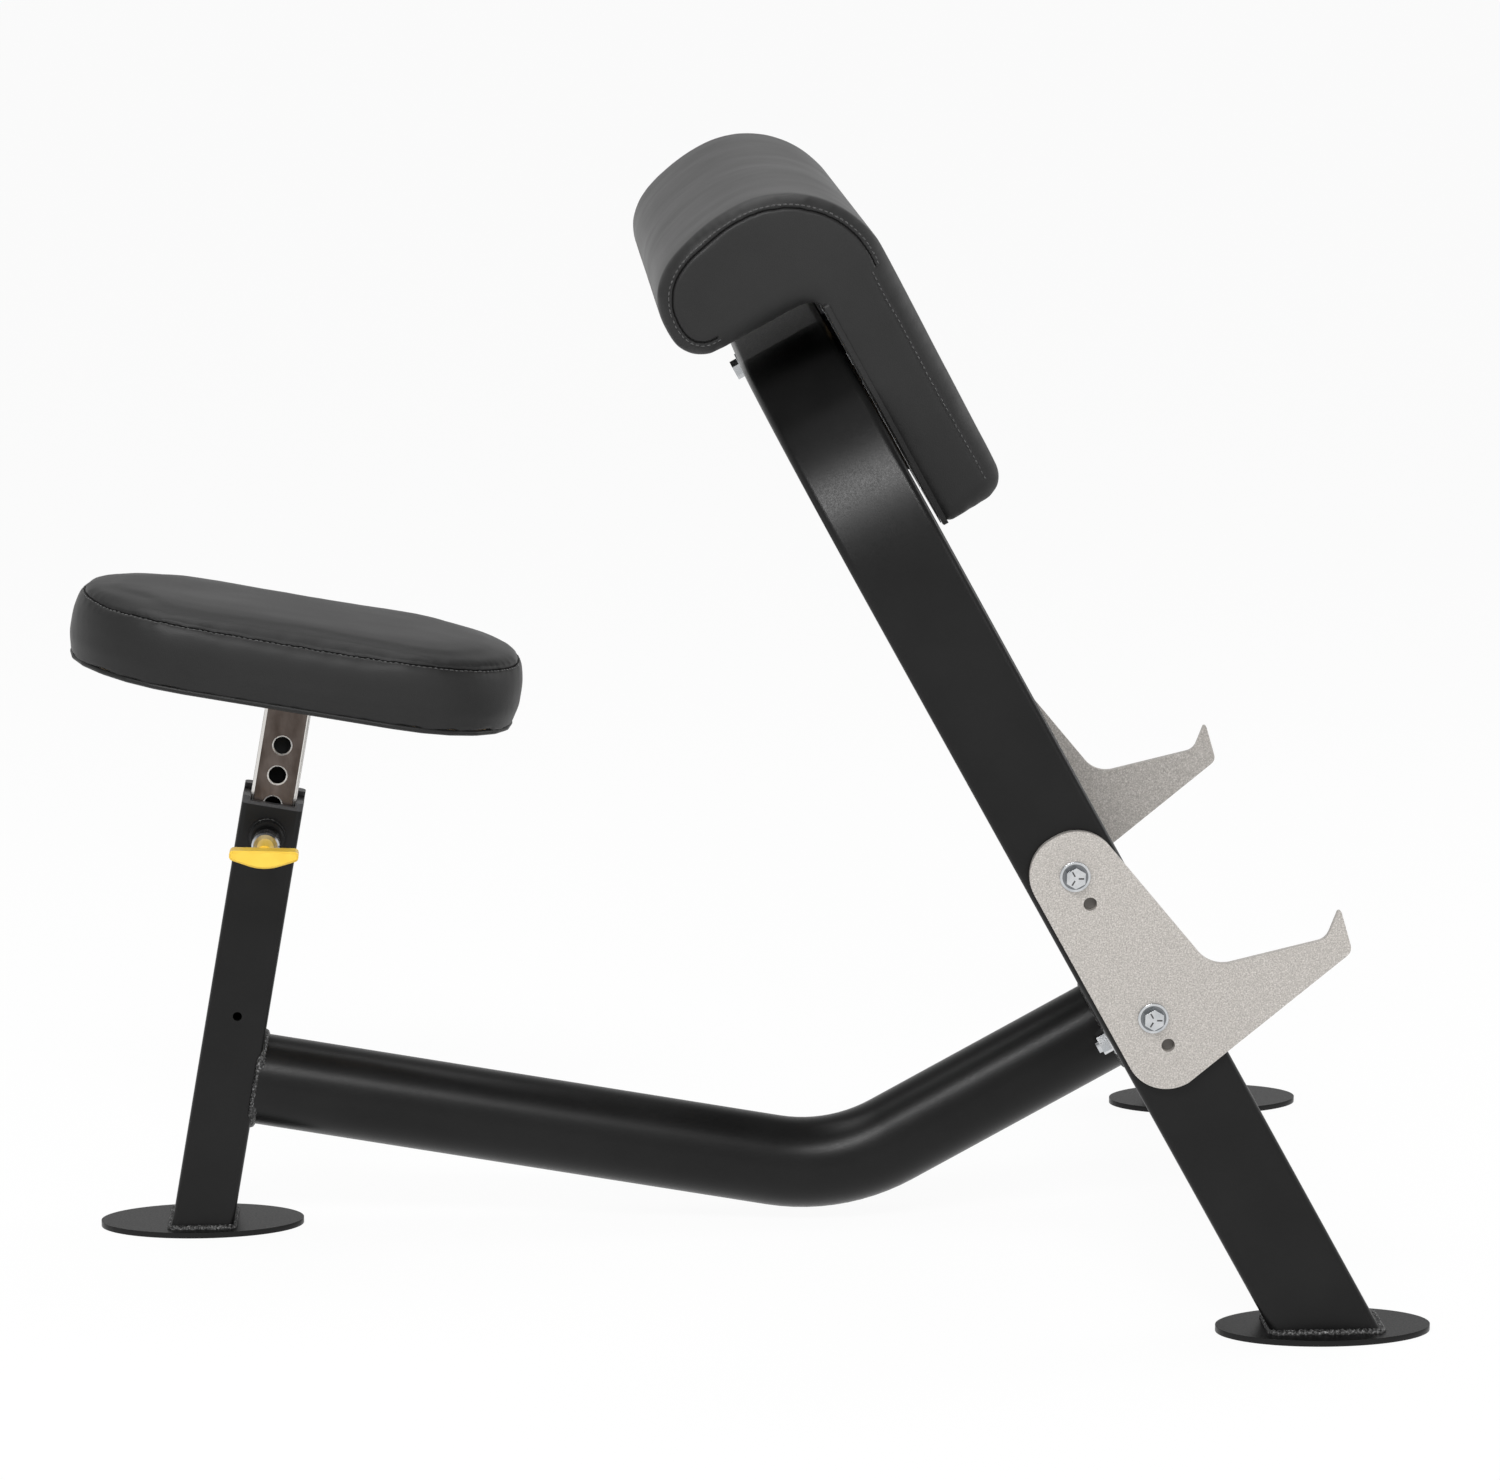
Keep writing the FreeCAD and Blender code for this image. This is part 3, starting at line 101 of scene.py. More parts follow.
# Frames on the floor whose Z axes run up the arch and up the seat post
ARCH = placed(Matrix(), (ARCH_FOOT_X, 0, 0), Matrix.Rotation(-LEAN, 4, "Y"))
POST = placed(Matrix(), (POST_FOOT_X, 0, 0), Matrix.Rotation(TILT, 4, "Y"))

# Turns that point a frame's Z axis along X or against Y
FACING_X = Matrix(((0, 0, 1, 0), (1, 0, 0, 0), (0, 1, 0, 0), (0, 0, 0, 1)))
FACING_SIDE = Matrix.Rotation(math.pi / 2, 4, "X")

# Camera at the photograph's viewing angle, worked out for a picture 1500 pixels wide
FOCAL_PIXELS = 5200
PICTURE_WIDTH = 1500
SENSOR_WIDTH = 36
CAMERA_PLACE = (-0.2122, -4.2374, 1.2601)
CAMERA_DIP = math.radians(11.321)
CAMERA_YAW = math.radians(3.154)


def add_camera():
    data = bpy.data.cameras.new("camera")
    data.sensor_width = SENSOR_WIDTH
    data.lens = FOCAL_PIXELS / PICTURE_WIDTH * SENSOR_WIDTH
    camera = bpy.data.objects.new("camera", data)
    camera.location = CAMERA_PLACE
    camera.rotation_euler = (math.pi / 2 - CAMERA_DIP, 0, -CAMERA_YAW)
    scene.collection.objects.link(camera)
    scene.camera = camera


def set_sockets(node, values):
    """Sets input sockets by name, with underscores for the spaces in a name."""
    for words, value in values.items():
        node.inputs[words.replace("_", " ")].default_value = value


def new_node(tree, kind, **values):
    """A new shader node with the given values on its sockets."""
    node = tree.nodes.new(kind)
    set_sockets(node, values)
    return node


# Studio: a wide pale floor, a pale horizon under a dimmer ceiling, and softboxes
FLOOR_RADIUS = 40
FLOOR_SEGMENTS = 96
FLOOR_DROP = 0.2 * MM
FLOOR_COLOUR = (0.9, 0.9, 0.9, 1)
FLOOR_GLOW_SHARE = 0.94
HORIZON_LIGHT = 0.75
CEILING_LIGHT = 0.2
HORIZON_END = 0.25
CEILING_START = 0.7


def floor_material():
    """Pale matte floor that shows as nearly white to the camera and in reflections, with its shadows."""
    material = bpy.data.materials.new("studio_floor")
    material.use_nodes = True
    tree = material.node_tree
    tree.nodes.remove(tree.nodes["Principled BSDF"])
    matte = new_node(tree, "ShaderNodeBsdfDiffuse", Color=FLOOR_COLOUR)
    glow = new_node(tree, "ShaderNodeEmission")
    path = new_node(tree, "ShaderNodeLightPath")
    seen = path.outputs["Is Camera Ray"]
    for kind in ("Is Glossy Ray", "Is Transmission Ray"):
        either = new_node(tree, "ShaderNodeMath")
        either.operation = "MAXIMUM"
        tree.links.new(seen, either.inputs[0])
        tree.links.new(path.outputs[kind], either.inputs[1])
        seen = either.outputs[0]
    share = new_node(tree, "ShaderNodeMath")
    share.operation = "MULTIPLY"
    share.inputs[1].default_value = FLOOR_GLOW_SHARE
    tree.links.new(seen, share.inputs[0])
    mix = new_node(tree, "ShaderNodeMixShader")
    tree.links.new(share.outputs[0], mix.inputs[0])
    tree.links.new(matte.outputs[0], mix.inputs[1])
    tree.links.new(glow.outputs[0], mix.inputs[2])
    tree.links.new(mix.outputs[0], tree.nodes["Material Output"].inputs["Surface"])
    return material


def add_floor():
    disc = bmesh.new()
    bmesh.ops.create_circle(disc, cap_ends=True, segments=FLOOR_SEGMENTS, radius=FLOOR_RADIUS)
    floor = linked("studio_floor", finished_mesh("studio_floor", disc, floor_material(), smooth=False))
    floor.location.z = -FLOOR_DROP


def add_world():
    """Pale at the horizon and dimmer overhead, the same for every kind of ray."""
    world = bpy.data.worlds.new("studio")
    world.use_nodes = True
    tree = world.node_tree
    place = new_node(tree, "ShaderNodeTexCoord")
    split = new_node(tree, "ShaderNodeSeparateXYZ")
    fade = new_node(tree, "ShaderNodeMapRange", From_Min=HORIZON_END, From_Max=CEILING_START,
                    To_Min=HORIZON_LIGHT, To_Max=CEILING_LIGHT)
    tree.links.new(place.outputs["Generated"], split.inputs[0])
    tree.links.new(split.outputs["Z"], fade.inputs["Value"])
    sky = tree.nodes["Background"]
    sky.inputs["Color"].default_value = (1, 1, 1, 1)
    tree.links.new(fade.outputs["Result"], sky.inputs["Strength"])
    scene.world = world


def add_softbox(name, place, aim, size, watts):
    data = bpy.data.lights.new(name, "AREA")
    data.shape = "RECTANGLE"
    data.size, data.size_y = size
    data.energy = watts
    lamp = bpy.data.objects.new(name, data)
    lamp.location = place
    lamp.rotation_euler = (Vector(aim) - Vector(place)).to_track_quat("-Z", "Y").to_euler()
    scene.collection.objects.link(lamp)


def add_studio():
    add_world()
    add_floor()
    add_softbox("key_softbox", place=(-0.7, -2.3, 2.6), aim=(0, 0, 0.5), size=(1.9, 0.65), watts=72)
    add_softbox("top_softbox", place=(-0.4, 0.6, 2.9), aim=(-0.1, 0, 0.5), size=(2.0, 1.4), watts=31)
    add_softbox("fill_softbox", place=(1.7, -2.6, 1.3), aim=(0.3, 0.3, 0.5), size=(1.2, 1.0), watts=8)
    add_softbox("side_softbox", place=(2.4, 0.5, 1.5), aim=(0.2, 0, 0.6), size=(0.9, 1.4), watts=16)


# Finishes: the middle stretch of a noise field carries its colours and roughness
FIELD_LOW = 0.3
FIELD_HIGH = 0.7


class Finish:
    """A procedural material made of fields over the object's own coordinates, in metres."""

    def __init__(self, name, **constants):
        self.material = bpy.data.materials.new(name)
        self.material.use_nodes = True
        self.tree = self.material.node_tree
        self.link = self.tree.links.new
        self.shader = self.tree.nodes["Principled BSDF"]
        set_sockets(self.shader, constants)
        self.place = self.node("ShaderNodeTexCoord").outputs["Object"]
        self.relief = None

    def node(self, kind, **values):
        return new_node(self.tree, kind, **values)

    def noise(self, scale, detail=2, stretch=(1, 1, 1)):
        mapping = self.node("ShaderNodeMapping", Scale=stretch)
        field = self.node("ShaderNodeTexNoise", Scale=scale, Detail=detail)
        self.link(self.place, mapping.inputs["Vector"])
        self.link(mapping.outputs["Vector"], field.inputs["Vector"])
        return field.outputs["Fac"]

    def cells(self, scale):
        field = self.node("ShaderNodeTexVoronoi", Scale=scale)
        self.link(self.place, field.inputs["Vector"])
        return field.outputs["Distance"]

    def ramp(self, field, stops):
        """Colour from a field: stops are (position, colour)."""
        ramp = self.node("ShaderNodeValToRGB")
        elements = ramp.color_ramp.elements
        while len(elements) < len(stops):
            elements.new(0.5)
        for element, (position, colour) in zip(elements, stops):
            element.position = position
            element.color = (*colour, 1)
        self.link(field, ramp.inputs["Fac"])
        return ramp.outputs["Color"]

    def blend(self, field, dark, light):
        """Colour that goes from dark to light over the middle of a noise field."""
        return self.ramp(field, [(FIELD_LOW, dark), (FIELD_HIGH, light)])

    def mixed(self, mask, below, above):
        """The colour below, with the plain colour above where the mask is 1."""
        mix = self.node("ShaderNodeMixRGB", Color2=(*above, 1))
        self.link(mask, mix.inputs["Fac"])
        self.link(below, mix.inputs["Color1"])
        return mix.outputs["Color"]

    def paint(self, colour):
        self.link(colour, self.shader.inputs["Base Color"])

    def moved(self, matrix):
        """The object's coordinates taken into another frame."""
        mapping = self.node("ShaderNodeMapping", Location=matrix.to_translation(),
                            Rotation=matrix.to_euler())
        self.link(self.place, mapping.inputs["Vector"])
        return mapping.outputs["Vector"]

    def axis(self, vector, letter):
        split = self.node("ShaderNodeSeparateXYZ")
        self.link(vector, split.inputs[0])
        return split.outputs[letter]

    def maths(self, operation, field, number=0.0):
        step = self.node("ShaderNodeMath")
        step.operation = operation
        step.inputs[1].default_value = number
        self.link(field, step.inputs[0])
        return step.outputs[0]

    def size_of(self, field):
        return self.maths("ABSOLUTE", field)

    def below(self, field, limit):
        return self.maths("LESS_THAN", field, limit)

    def above(self, field, limit):
        return self.maths("GREATER_THAN", field, limit)

    def both(self, first, second):
        product = self.maths("MULTIPLY", first)
        self.link(second, product.node.inputs[1])
        return product

    def off_axis(self, vector, levels):
        """Distance from the nearer of two axes along Y, both at X 0, at the two levels."""
        middle = (levels[0] + levels[1]) / 2
        half = (levels[0] - levels[1]) / 2
        height = self.size_of(self.maths("SUBTRACT", self.axis(vector, "Z"), middle))
        spot = self.node("ShaderNodeCombineXYZ")
        self.link(self.axis(vector, "X"), spot.inputs["X"])
        self.link(self.maths("SUBTRACT", height, half), spot.inputs["Z"])
        length = self.node("ShaderNodeVectorMath")
        length.operation = "LENGTH"
        self.link(spot.outputs[0], length.inputs[0])
        return length.outputs["Value"]

    def roughness(self, field, low, high):
        spread = self.node("ShaderNodeMapRange", From_Min=FIELD_LOW, From_Max=FIELD_HIGH,
                           To_Min=low, To_Max=high)
        self.link(field, spread.inputs["Value"])
        self.link(spread.outputs["Result"], self.shader.inputs["Roughness"])

    def dulled(self, mask, metallic):
        """Less metallic where the mask is 1, so that the steel shows its own colour there."""
        level = self.node("ShaderNodeMapRange", To_Min=1, To_Max=metallic)
        self.link(mask, level.inputs["Value"])
        self.link(level.outputs["Result"], self.shader.inputs["Metallic"])

    def bump(self, field, depth, strength):
        """Relief of the given depth in metres, added to any relief before it."""
        relief = self.node("ShaderNodeBump", Strength=strength, Distance=depth)
        self.link(field, relief.inputs["Height"])
        if self.relief:
            self.link(self.relief, relief.inputs["Normal"])
        self.relief = relief.outputs["Normal"]
        self.link(self.relief, self.shader.inputs["Normal"])


def grey(level):
    return (level, level, level)


def powder_colour(finish):
    """Satin black powder coat with a fine orange peel."""
    peel = finish.noise(scale=650, detail=3)
    finish.roughness(peel, low=0.28, high=0.4)
    finish.bump(peel, depth=0.2 * MM, strength=0.1)
    return finish.blend(finish.noise(scale=14, detail=4), dark=grey(0.0045), light=grey(0.008))


def powder_coat():
    finish = Finish("powder_black", Specular_IOR_Level=0.22)
    finish.paint(powder_colour(finish))
    return finish.material


def arch_coat():
    """The same coat on the arch, with the grey spots that show through the spare holes of the catches."""
    finish = Finish("arch_black", Specular_IOR_Level=0.22)
    within = finish.moved(ARCH.inverted())
    aside = finish.size_of(finish.axis(within, "Y"))
    outside = finish.above(aside, LEG_Y + LEG_WIDTH / 2 - FACE_SKIN)
    near_hole = finish.below(finish.off_axis(within, SPARE_HOLES), SPARE_HOLE_RADIUS)
    spot = finish.both(outside, near_hole)
    finish.paint(finish.mixed(spot, below=powder_colour(finish), above=(0.16, 0.15, 0.14)))
    return finish.material


def weld_coat():
    """The same coat over rippled weld metal, with grey flecks painted at random as highlights on its
    ripples.
    """
    finish = Finish("weld_black", Specular_IOR_Level=0.4)
    glint_flecks = finish.noise(scale=520, detail=4)
    # painted highlight: grey flecks in the colour stand for glints on the bead's ripples
    finish.paint(finish.ramp(glint_flecks, [(0.42, grey(0.008)), (0.58, grey(0.06)), (0.72, grey(0.3))]))
    finish.roughness(glint_flecks, low=0.3, high=0.5)
    finish.bump(glint_flecks, depth=0.6 * MM, strength=0.6)
    return finish.material


def silver_coat():
    """Light metallic powder coat with sparkling flakes."""
    finish = Finish("silver_paint", Metallic=0.45, Specular_IOR_Level=0.4)
    flakes = finish.noise(scale=900, detail=3)
    finish.paint(finish.ramp(flakes, [
        (0.3, (0.34, 0.32, 0.3)),
        (0.52, (0.485, 0.458, 0.428)),
        (0.72, (0.68, 0.65, 0.62)),
    ]))
    finish.roughness(flakes, low=0.38, high=0.56)
    finish.bump(flakes, depth=0.2 * MM, strength=0.4)
    return finish.material


def zinc_colour(finish):
    """Bright plating: a faint cloudiness in colour and gloss."""
    clouds = finish.noise(scale=120, detail=3)
    finish.roughness(clouds, low=0.16, high=0.26)
    finish.bump(finish.noise(scale=900), depth=0.05 * MM, strength=0.2)
    return finish.blend(clouds, dark=(0.5, 0.52, 0.54), light=(0.66, 0.67, 0.68))


def zinc_plate():
    finish = Finish("zinc_steel", Metallic=1.0)
    finish.paint(zinc_colour(finish))
    return finish.material


def washer_steel():
    """Catch washers: a bright rim round a darker ring next to the bolt head, the ring being painted shade.
    """
    finish = Finish("washer_steel", Metallic=1.0)
    off_bolt = finish.off_axis(finish.moved(ARCH.inverted()), CATCH_BOLTS)
    ring = finish.below(off_bolt, WASHER_SHADE_RADIUS)
    # painted shade: the darker ring stands for shade between the bolt head and the washer's rim
    finish.paint(finish.mixed(ring, below=zinc_colour(finish), above=(0.2, 0.21, 0.22)))
    return finish.material


def stamped_steel():
    """Raised marks on the bolt heads, dull against the plating."""
    finish = Finish("stamped_steel", Metallic=1.0)
    wear = finish.noise(scale=600, detail=3)
    finish.paint(finish.blend(wear, dark=grey(0.06), light=grey(0.14)))
    finish.roughness(wear, low=0.3, high=0.5)
    return finish.material


def barrel_steel():
    """Pin barrel: near black towards the post and bright plated towards the handle."""
    finish = Finish("barrel_steel", Metallic=1.0)
    near_post = finish.above(finish.axis(finish.place, "Y"), BARREL_BREAK)
    finish.paint(finish.mixed(near_post, below=zinc_colour(finish), above=grey(0.02)))
    return finish.material


def drawn_steel():
    """Inner post: warm grey tube with draw lines, bevels round its holes painted bright (partly bare cut
    steel, partly painted highlight), painted highlights along its corners, and painted shade as a near-black
    inside.
    """
    finish = Finish("inner_steel", Metallic=1.0)
    lines = finish.noise(scale=420, detail=4, stretch=(1, 1, 0.04))
    scuffs = finish.noise(scale=60, detail=5, stretch=(1, 1, 0.5))
    finish.roughness(lines, low=0.26, high=0.42)
    finish.bump(lines, depth=0.1 * MM, strength=0.35)
    coat = finish.blend(scuffs, dark=(0.065, 0.05, 0.042), light=(0.15, 0.125, 0.112))
    within = finish.moved(POST.inverted())
    depth = finish.size_of(finish.axis(within, "X"))
    width = finish.size_of(finish.axis(within, "Y"))
    # painted shade: the inside of the tube is made near black
    inside = finish.both(finish.below(depth, INNER_DEPTH / 2 - BEVEL_DEPTH),
                         finish.below(width, INNER_WIDTH / 2 - BEVEL_DEPTH))
    bevel = finish.both(finish.below(depth, HOLE_REACH), finish.below(width, INNER_WIDTH / 2 - BEVEL_SKIN))
    # painted highlight along the tube's rounded corners
    corner = finish.both(finish.above(depth, INNER_DEPTH / 2 - EDGE_SHINE),
                         finish.above(width, INNER_WIDTH / 2 - EDGE_SHINE))
    # the hole bevels are painted bright, partly as bare cut steel and partly as painted highlight
    bevelled = finish.mixed(bevel, below=coat, above=(0.85, 0.83, 0.8))
    shining = finish.mixed(corner, below=bevelled, above=(0.8, 0.78, 0.75))
    finish.paint(finish.mixed(inside, below=shining, above=grey(0.011)))
    # less metallic at the bevels, so that their bright painted colour shows
    finish.dulled(bevel, metallic=0.4)
    return finish.material


def sleeve_nylon():
    finish = Finish("sleeve_plastic", Specular_IOR_Level=0.5)
    grain = finish.noise(scale=500, detail=3)
    finish.paint(finish.blend(grain, dark=(0.028, 0.028, 0.03), light=(0.045, 0.045, 0.048)))
    finish.roughness(grain, low=0.34, high=0.48)
    finish.bump(grain, depth=0.15 * MM, strength=0.4)
    return finish.material


def handle_plastic():
    """Yellow moulded handle, mottled a little."""
    finish = Finish("handle_yellow", Specular_IOR_Level=0.45)
    mottle = finish.noise(scale=70, detail=3)
    finish.paint(finish.blend(mottle, dark=(0.83, 0.53, 0.05), light=(0.88, 0.6, 0.07)))
    mould = finish.noise(scale=900)
    finish.roughness(mould, low=0.34, high=0.44)
    finish.bump(mould, depth=0.1 * MM, strength=0.25)
    return finish.material


def vinyl():
    """Charcoal upholstery vinyl: fine pressed grain, soft mottling and a slight sheen."""
    finish = Finish("charcoal_vinyl", Specular_IOR_Level=0.32, Sheen_Weight=0.06, Sheen_Roughness=0.4)
    mottle = finish.noise(scale=11, detail=5, stretch=(1, 1.6, 1))
    finish.paint(finish.blend(mottle, dark=grey(0.009), light=grey(0.013)))
    finish.roughness(mottle, low=0.46, high=0.56)
    finish.bump(finish.cells(scale=1100), depth=0.12 * MM, strength=0.4)
    finish.bump(mottle, depth=1.5 * MM, strength=0.12)
    return finish.material


def sewing_thread():
    finish = Finish("thread", Specular_IOR_Level=0.4, Sheen_Weight=0.3)
    twist = finish.noise(scale=1400)
    finish.paint(finish.blend(twist, dark=grey(0.03), light=grey(0.075)))
    finish.roughness(twist, low=0.45, high=0.6)
    finish.bump(twist, depth=0.1 * MM, strength=0.6)
    return finish.material


def seam_shade():
    """Near-black vinyl for the line low in each seam's groove: painted shade there."""
    finish = Finish("seam", Specular_IOR_Level=0.1)
    grain = finish.noise(scale=800)
    finish.paint(finish.blend(grain, dark=grey(0.002), light=grey(0.006)))
    finish.roughness(grain, low=0.6, high=0.8)
    return finish.material


def plywood():
    finish = Finish("plywood", Specular_IOR_Level=0.3)
    rings = finish.noise(scale=45, detail=6, stretch=(0.12, 1, 1))
    finish.paint(finish.ramp(rings, [
        (0.3, (0.42, 0.28, 0.15)),
        (0.55, (0.58, 0.42, 0.25)),
        (0.75, (0.66, 0.5, 0.32)),
    ]))
    finish.roughness(rings, low=0.55, high=0.75)
    finish.bump(rings, depth=0.3 * MM, strength=0.4)
    return finish.material


FINISHES = {
    "powder_black": powder_coat(),
    "silver_paint": silver_coat(),
    "zinc_steel": zinc_plate(),
    "inner_steel": drawn_steel(),
    "sleeve_plastic": sleeve_nylon(),
    "handle_yellow": handle_plastic(),
    "charcoal_vinyl": vinyl(),
    "plywood": plywood(),
}
VINYL = FINISHES["charcoal_vinyl"]
WELD = weld_coat()
STAMPED = stamped_steel()
THREAD = sewing_thread()
SEAM = seam_shade()


def dress_nodes():
    """Every CAD node takes the finish of its slot in the record, and three take one of their own."""
    for entry in frame["record"]["subparts"]:
        mesh = nodes[entry["node"]].data
        mesh.materials.clear()
        mesh.materials.append(FINISHES[entry["material_slot"]])
    nodes["arch_tube"].data.materials[0] = arch_coat()
    nodes["catch_washers"].data.materials[0] = washer_steel()
    nodes["pin_barrel"].data.materials[0] = barrel_steel()


# Plates and fasteners with broken edges
JOIN_DISTANCE = 0.01 * MM
SHARP_ANGLE = math.radians(40)
EDGE_BREAK = {
    "bar_catch_right": 0.8 * MM,
    "bar_catch_left": 0.8 * MM,
    "catch_washers": 0.6 * MM,
    "catch_bolts": 0.6 * MM,
    "flange_bolts": 0.5 * MM,
    "flange_washers": 0.4 * MM,
    "pad_bolt": 0.5 * MM,
    "pad_bolt_washer": 0.4 * MM,
    "front_foot_right": 0.7 * MM,
    "front_foot_left": 0.7 * MM,
    "rear_foot": 0.7 * MM,
}


def break_edges():
    """Rounds the sharp edges of plates and fasteners a little, so that they catch the light."""
    for node, width in EDGE_BREAK.items():
        joined = nodes[node].modifiers.new("joined", "WELD")
        joined.merge_threshold = JOIN_DISTANCE
        broken = nodes[node].modifiers.new("broken", "BEVEL")
        broken.width = width
        broken.segments = 2
        broken.limit_method = "ANGLE"
        broken.angle_limit = SHARP_ANGLE
        broken.harden_normals = True


# Meshes
def linked(name, mesh):
    piece = bpy.data.objects.new(name, mesh)
    scene.collection.objects.link(piece)
    return piece


def finished_mesh(name, surface, material, smooth=True):
    """Turns an edited surface into a mesh with one material."""
    mesh = bpy.data.meshes.new(name)
    surface.to_mesh(mesh)
    surface.free()
    mesh.materials.append(material)
    if smooth:
        mesh.shade_smooth()
    return mesh


def add_piece(name, surface, material, body, smooth=True):
    """A piece of the scene's own, which moves with a body."""
    piece = linked(name, finished_mesh(name, surface, material, smooth))
    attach(piece, body)


def swept(rings, closed=True):
    """A tube through rings of points: the last ring is joined to the first, or both ends are capped."""
    surface = bmesh.new()
    corners = [[surface.verts.new(point) for point in ring] for ring in rings]
    if not closed:
        surface.faces.new(corners[0])
        surface.faces.new(corners[-1])
    ahead = corners[1:] + corners[:1] if closed else corners[1:]
    for ring, following in zip(corners, ahead):
        for side in range(len(ring)):
            after = (side + 1) % len(ring)
            surface.faces.new((ring[side], ring[after], following[after], following[side]))
    bmesh.ops.recalc_face_normals(surface, faces=surface.faces)
    return surface


def round_ring(centre, first, second, radius, sides):
    """Points of a circle that turns from one direction to another."""
    turns = [side / sides * math.tau for side in range(sides)]
    return [centre + (first * math.cos(turn) + second * math.sin(turn)) * radius for turn in turns]


def turned_to(along, aside, up):
    """Turn that takes the three axes to three directions."""
    return Matrix((along, aside, up)).transposed().to_4x4()


def welded(node):
    """The surface of a CAD node with its doubled corners joined."""
    surface = bmesh.new()
    surface.from_mesh(nodes[node].data)
    bmesh.ops.remove_doubles(surface, verts=surface.verts, dist=JOIN_DISTANCE)
    return surface


def search_tree(mesh):
    surface = bmesh.new()
    surface.from_mesh(mesh)
    tree = BVHTree.FromBMesh(surface)
    surface.free()
    return tree


# Paths: lines of points, or of (point, outward) pairs
CORNER_STEPS = 6
CIRCLE_STEPS = 72
END_MARGIN = 1e-9
FLAT_TOLERANCE = 0.05 * MM
LEVEL_TOLERANCE = 0.2 * MM


def path_tree(path):
    near = KDTree(len(path))
    for index, point in enumerate(path):
        near.insert(point, index)
    near.balance()
    return near


def direction_at(points, index, closed):
    """Direction of a line of points at one of them."""
    last = len(points) - 1
    ahead = points[(index + 1) % len(points)] if closed else points[min(index + 1, last)]
    behind = points[index - 1] if closed else points[max(index - 1, 0)]
    return (ahead - behind).normalized()


def resampled(points, step, closed):
    """Points about step apart along a line of points."""
    corners = points + points[:1] if closed else points
    lengths = [(b - a).length for a, b in zip(corners, corners[1:])]
    count = max(2, round(sum(lengths) / step))
    spacing = sum(lengths) / count
    made, gone, leg = [], 0.0, 0
    for index in range(count if closed else count + 1):
        goal = min(index * spacing, sum(lengths) - END_MARGIN)
        while gone + lengths[leg] < goal:
            gone += lengths[leg]
            leg += 1
        made.append(corners[leg].lerp(corners[leg + 1], (goal - gone) / lengths[leg]))
    return made


def divided(path, step):
    """A closed path of (point, outward) pairs with its points about step apart."""
    corners = [point for point, _ in path]
    near = path_tree(corners)
    return [(point, path[near.find(point)[1]][1]) for point in resampled(corners, step, True)]


def box_path(base, half_x, half_y, corner):
    """Rounded rectangle in the XY plane of a frame: (point, outward) pairs in order."""
    made = []
    for quarter, (sign_x, sign_y) in enumerate(((1, 1), (-1, 1), (-1, -1), (1, -1))):
        middle = Vector((sign_x * (half_x - corner), sign_y * (half_y - corner), 0))
        for step in range(CORNER_STEPS + 1):
            angle = (quarter + step / CORNER_STEPS) * math.pi / 2
            away = Vector((math.cos(angle), math.sin(angle), 0))
            made.append((base @ (middle + away * corner), base.to_3x3() @ away))
    return made


def ring_path(base, radius, half_width=math.inf):
    """Circle in the XY plane of a frame, cut straight where it passes half_width along X."""
    made = []
    for step in range(CIRCLE_STEPS):
        angle = step / CIRCLE_STEPS * math.tau
        away = Vector((math.cos(angle), math.sin(angle), 0))
        spot = away * radius
        spot.x = max(-half_width, min(half_width, spot.x))
        made.append((base @ spot, base.to_3x3() @ away))
    return made


def cap_outline(node, side):
    """Outline of the flat end of a CAD node at its lowest (-1) or highest (+1) Y, in order."""
    surface = welded(node)
    reach = max(vertex.co.y * side for vertex in surface.verts)
    cap = {face for face in surface.faces
           if all(reach - vertex.co.y * side < FLAT_TOLERANCE for vertex in face.verts)}
    border = [edge for edge in surface.edges if sum(face in cap for face in edge.link_faces) == 1]
    beside = {}
    for edge in border:
        first, second = edge.verts
        beside.setdefault(first, []).append(second)
        beside.setdefault(second, []).append(first)
    loop = [border[0].verts[0], beside[border[0].verts[0]][0]]
    while loop[-1] is not loop[0]:
        ahead = [vertex for vertex in beside[loop[-1]] if vertex is not loop[-2]]
        loop.append(ahead[0])
    points = [vertex.co.copy() for vertex in loop[:-1]]
    surface.free()
    return points


def level_outline(node, base, level):
    """Outline of a CAD node's ring of corners at a level of the frame base, in order round its middle."""
    surface = welded(node)
    into = base.inverted()
    ring = [into @ vertex.co for vertex in surface.verts]
    ring = [point for point in ring if abs(point.z - level) < LEVEL_TOLERANCE]
    surface.free()
    middle = sum(ring, Vector()) / len(ring)
    ring.sort(key=lambda point: math.atan2(point.y - middle.y, point.x - middle.x))
    return [base @ point for point in ring]


# Upholstery: vinyl blown up as cloth and kept near the form of its CAD cushion
VOXEL = 5 * MM
PUFF_FRAMES = 20
PUFF_PRESSURE = 4
PUFF_START = 1.5 * MM
HELD_REACH = 7 * MM
CALM_NEAR = 2 * MM
CALM_FAR = 14 * MM


def applied(piece):
    """Puts the result of a piece's modifiers into its mesh."""
    depsgraph = bpy.context.evaluated_depsgraph_get()
    mesh = bpy.data.meshes.new_from_object(piece.evaluated_get(depsgraph), depsgraph=depsgraph)
    piece.modifiers.clear()
    piece.data = mesh


def remeshed(node, name):
    surface = welded(node)
    mesh = bpy.data.meshes.new(name)
    surface.to_mesh(mesh)
    surface.free()
    piece = linked(name, mesh)
    remesh = piece.modifiers.new("remesh", "REMESH")
    remesh.mode = "VOXEL"
    remesh.voxel_size = VOXEL
    applied(piece)
    return piece


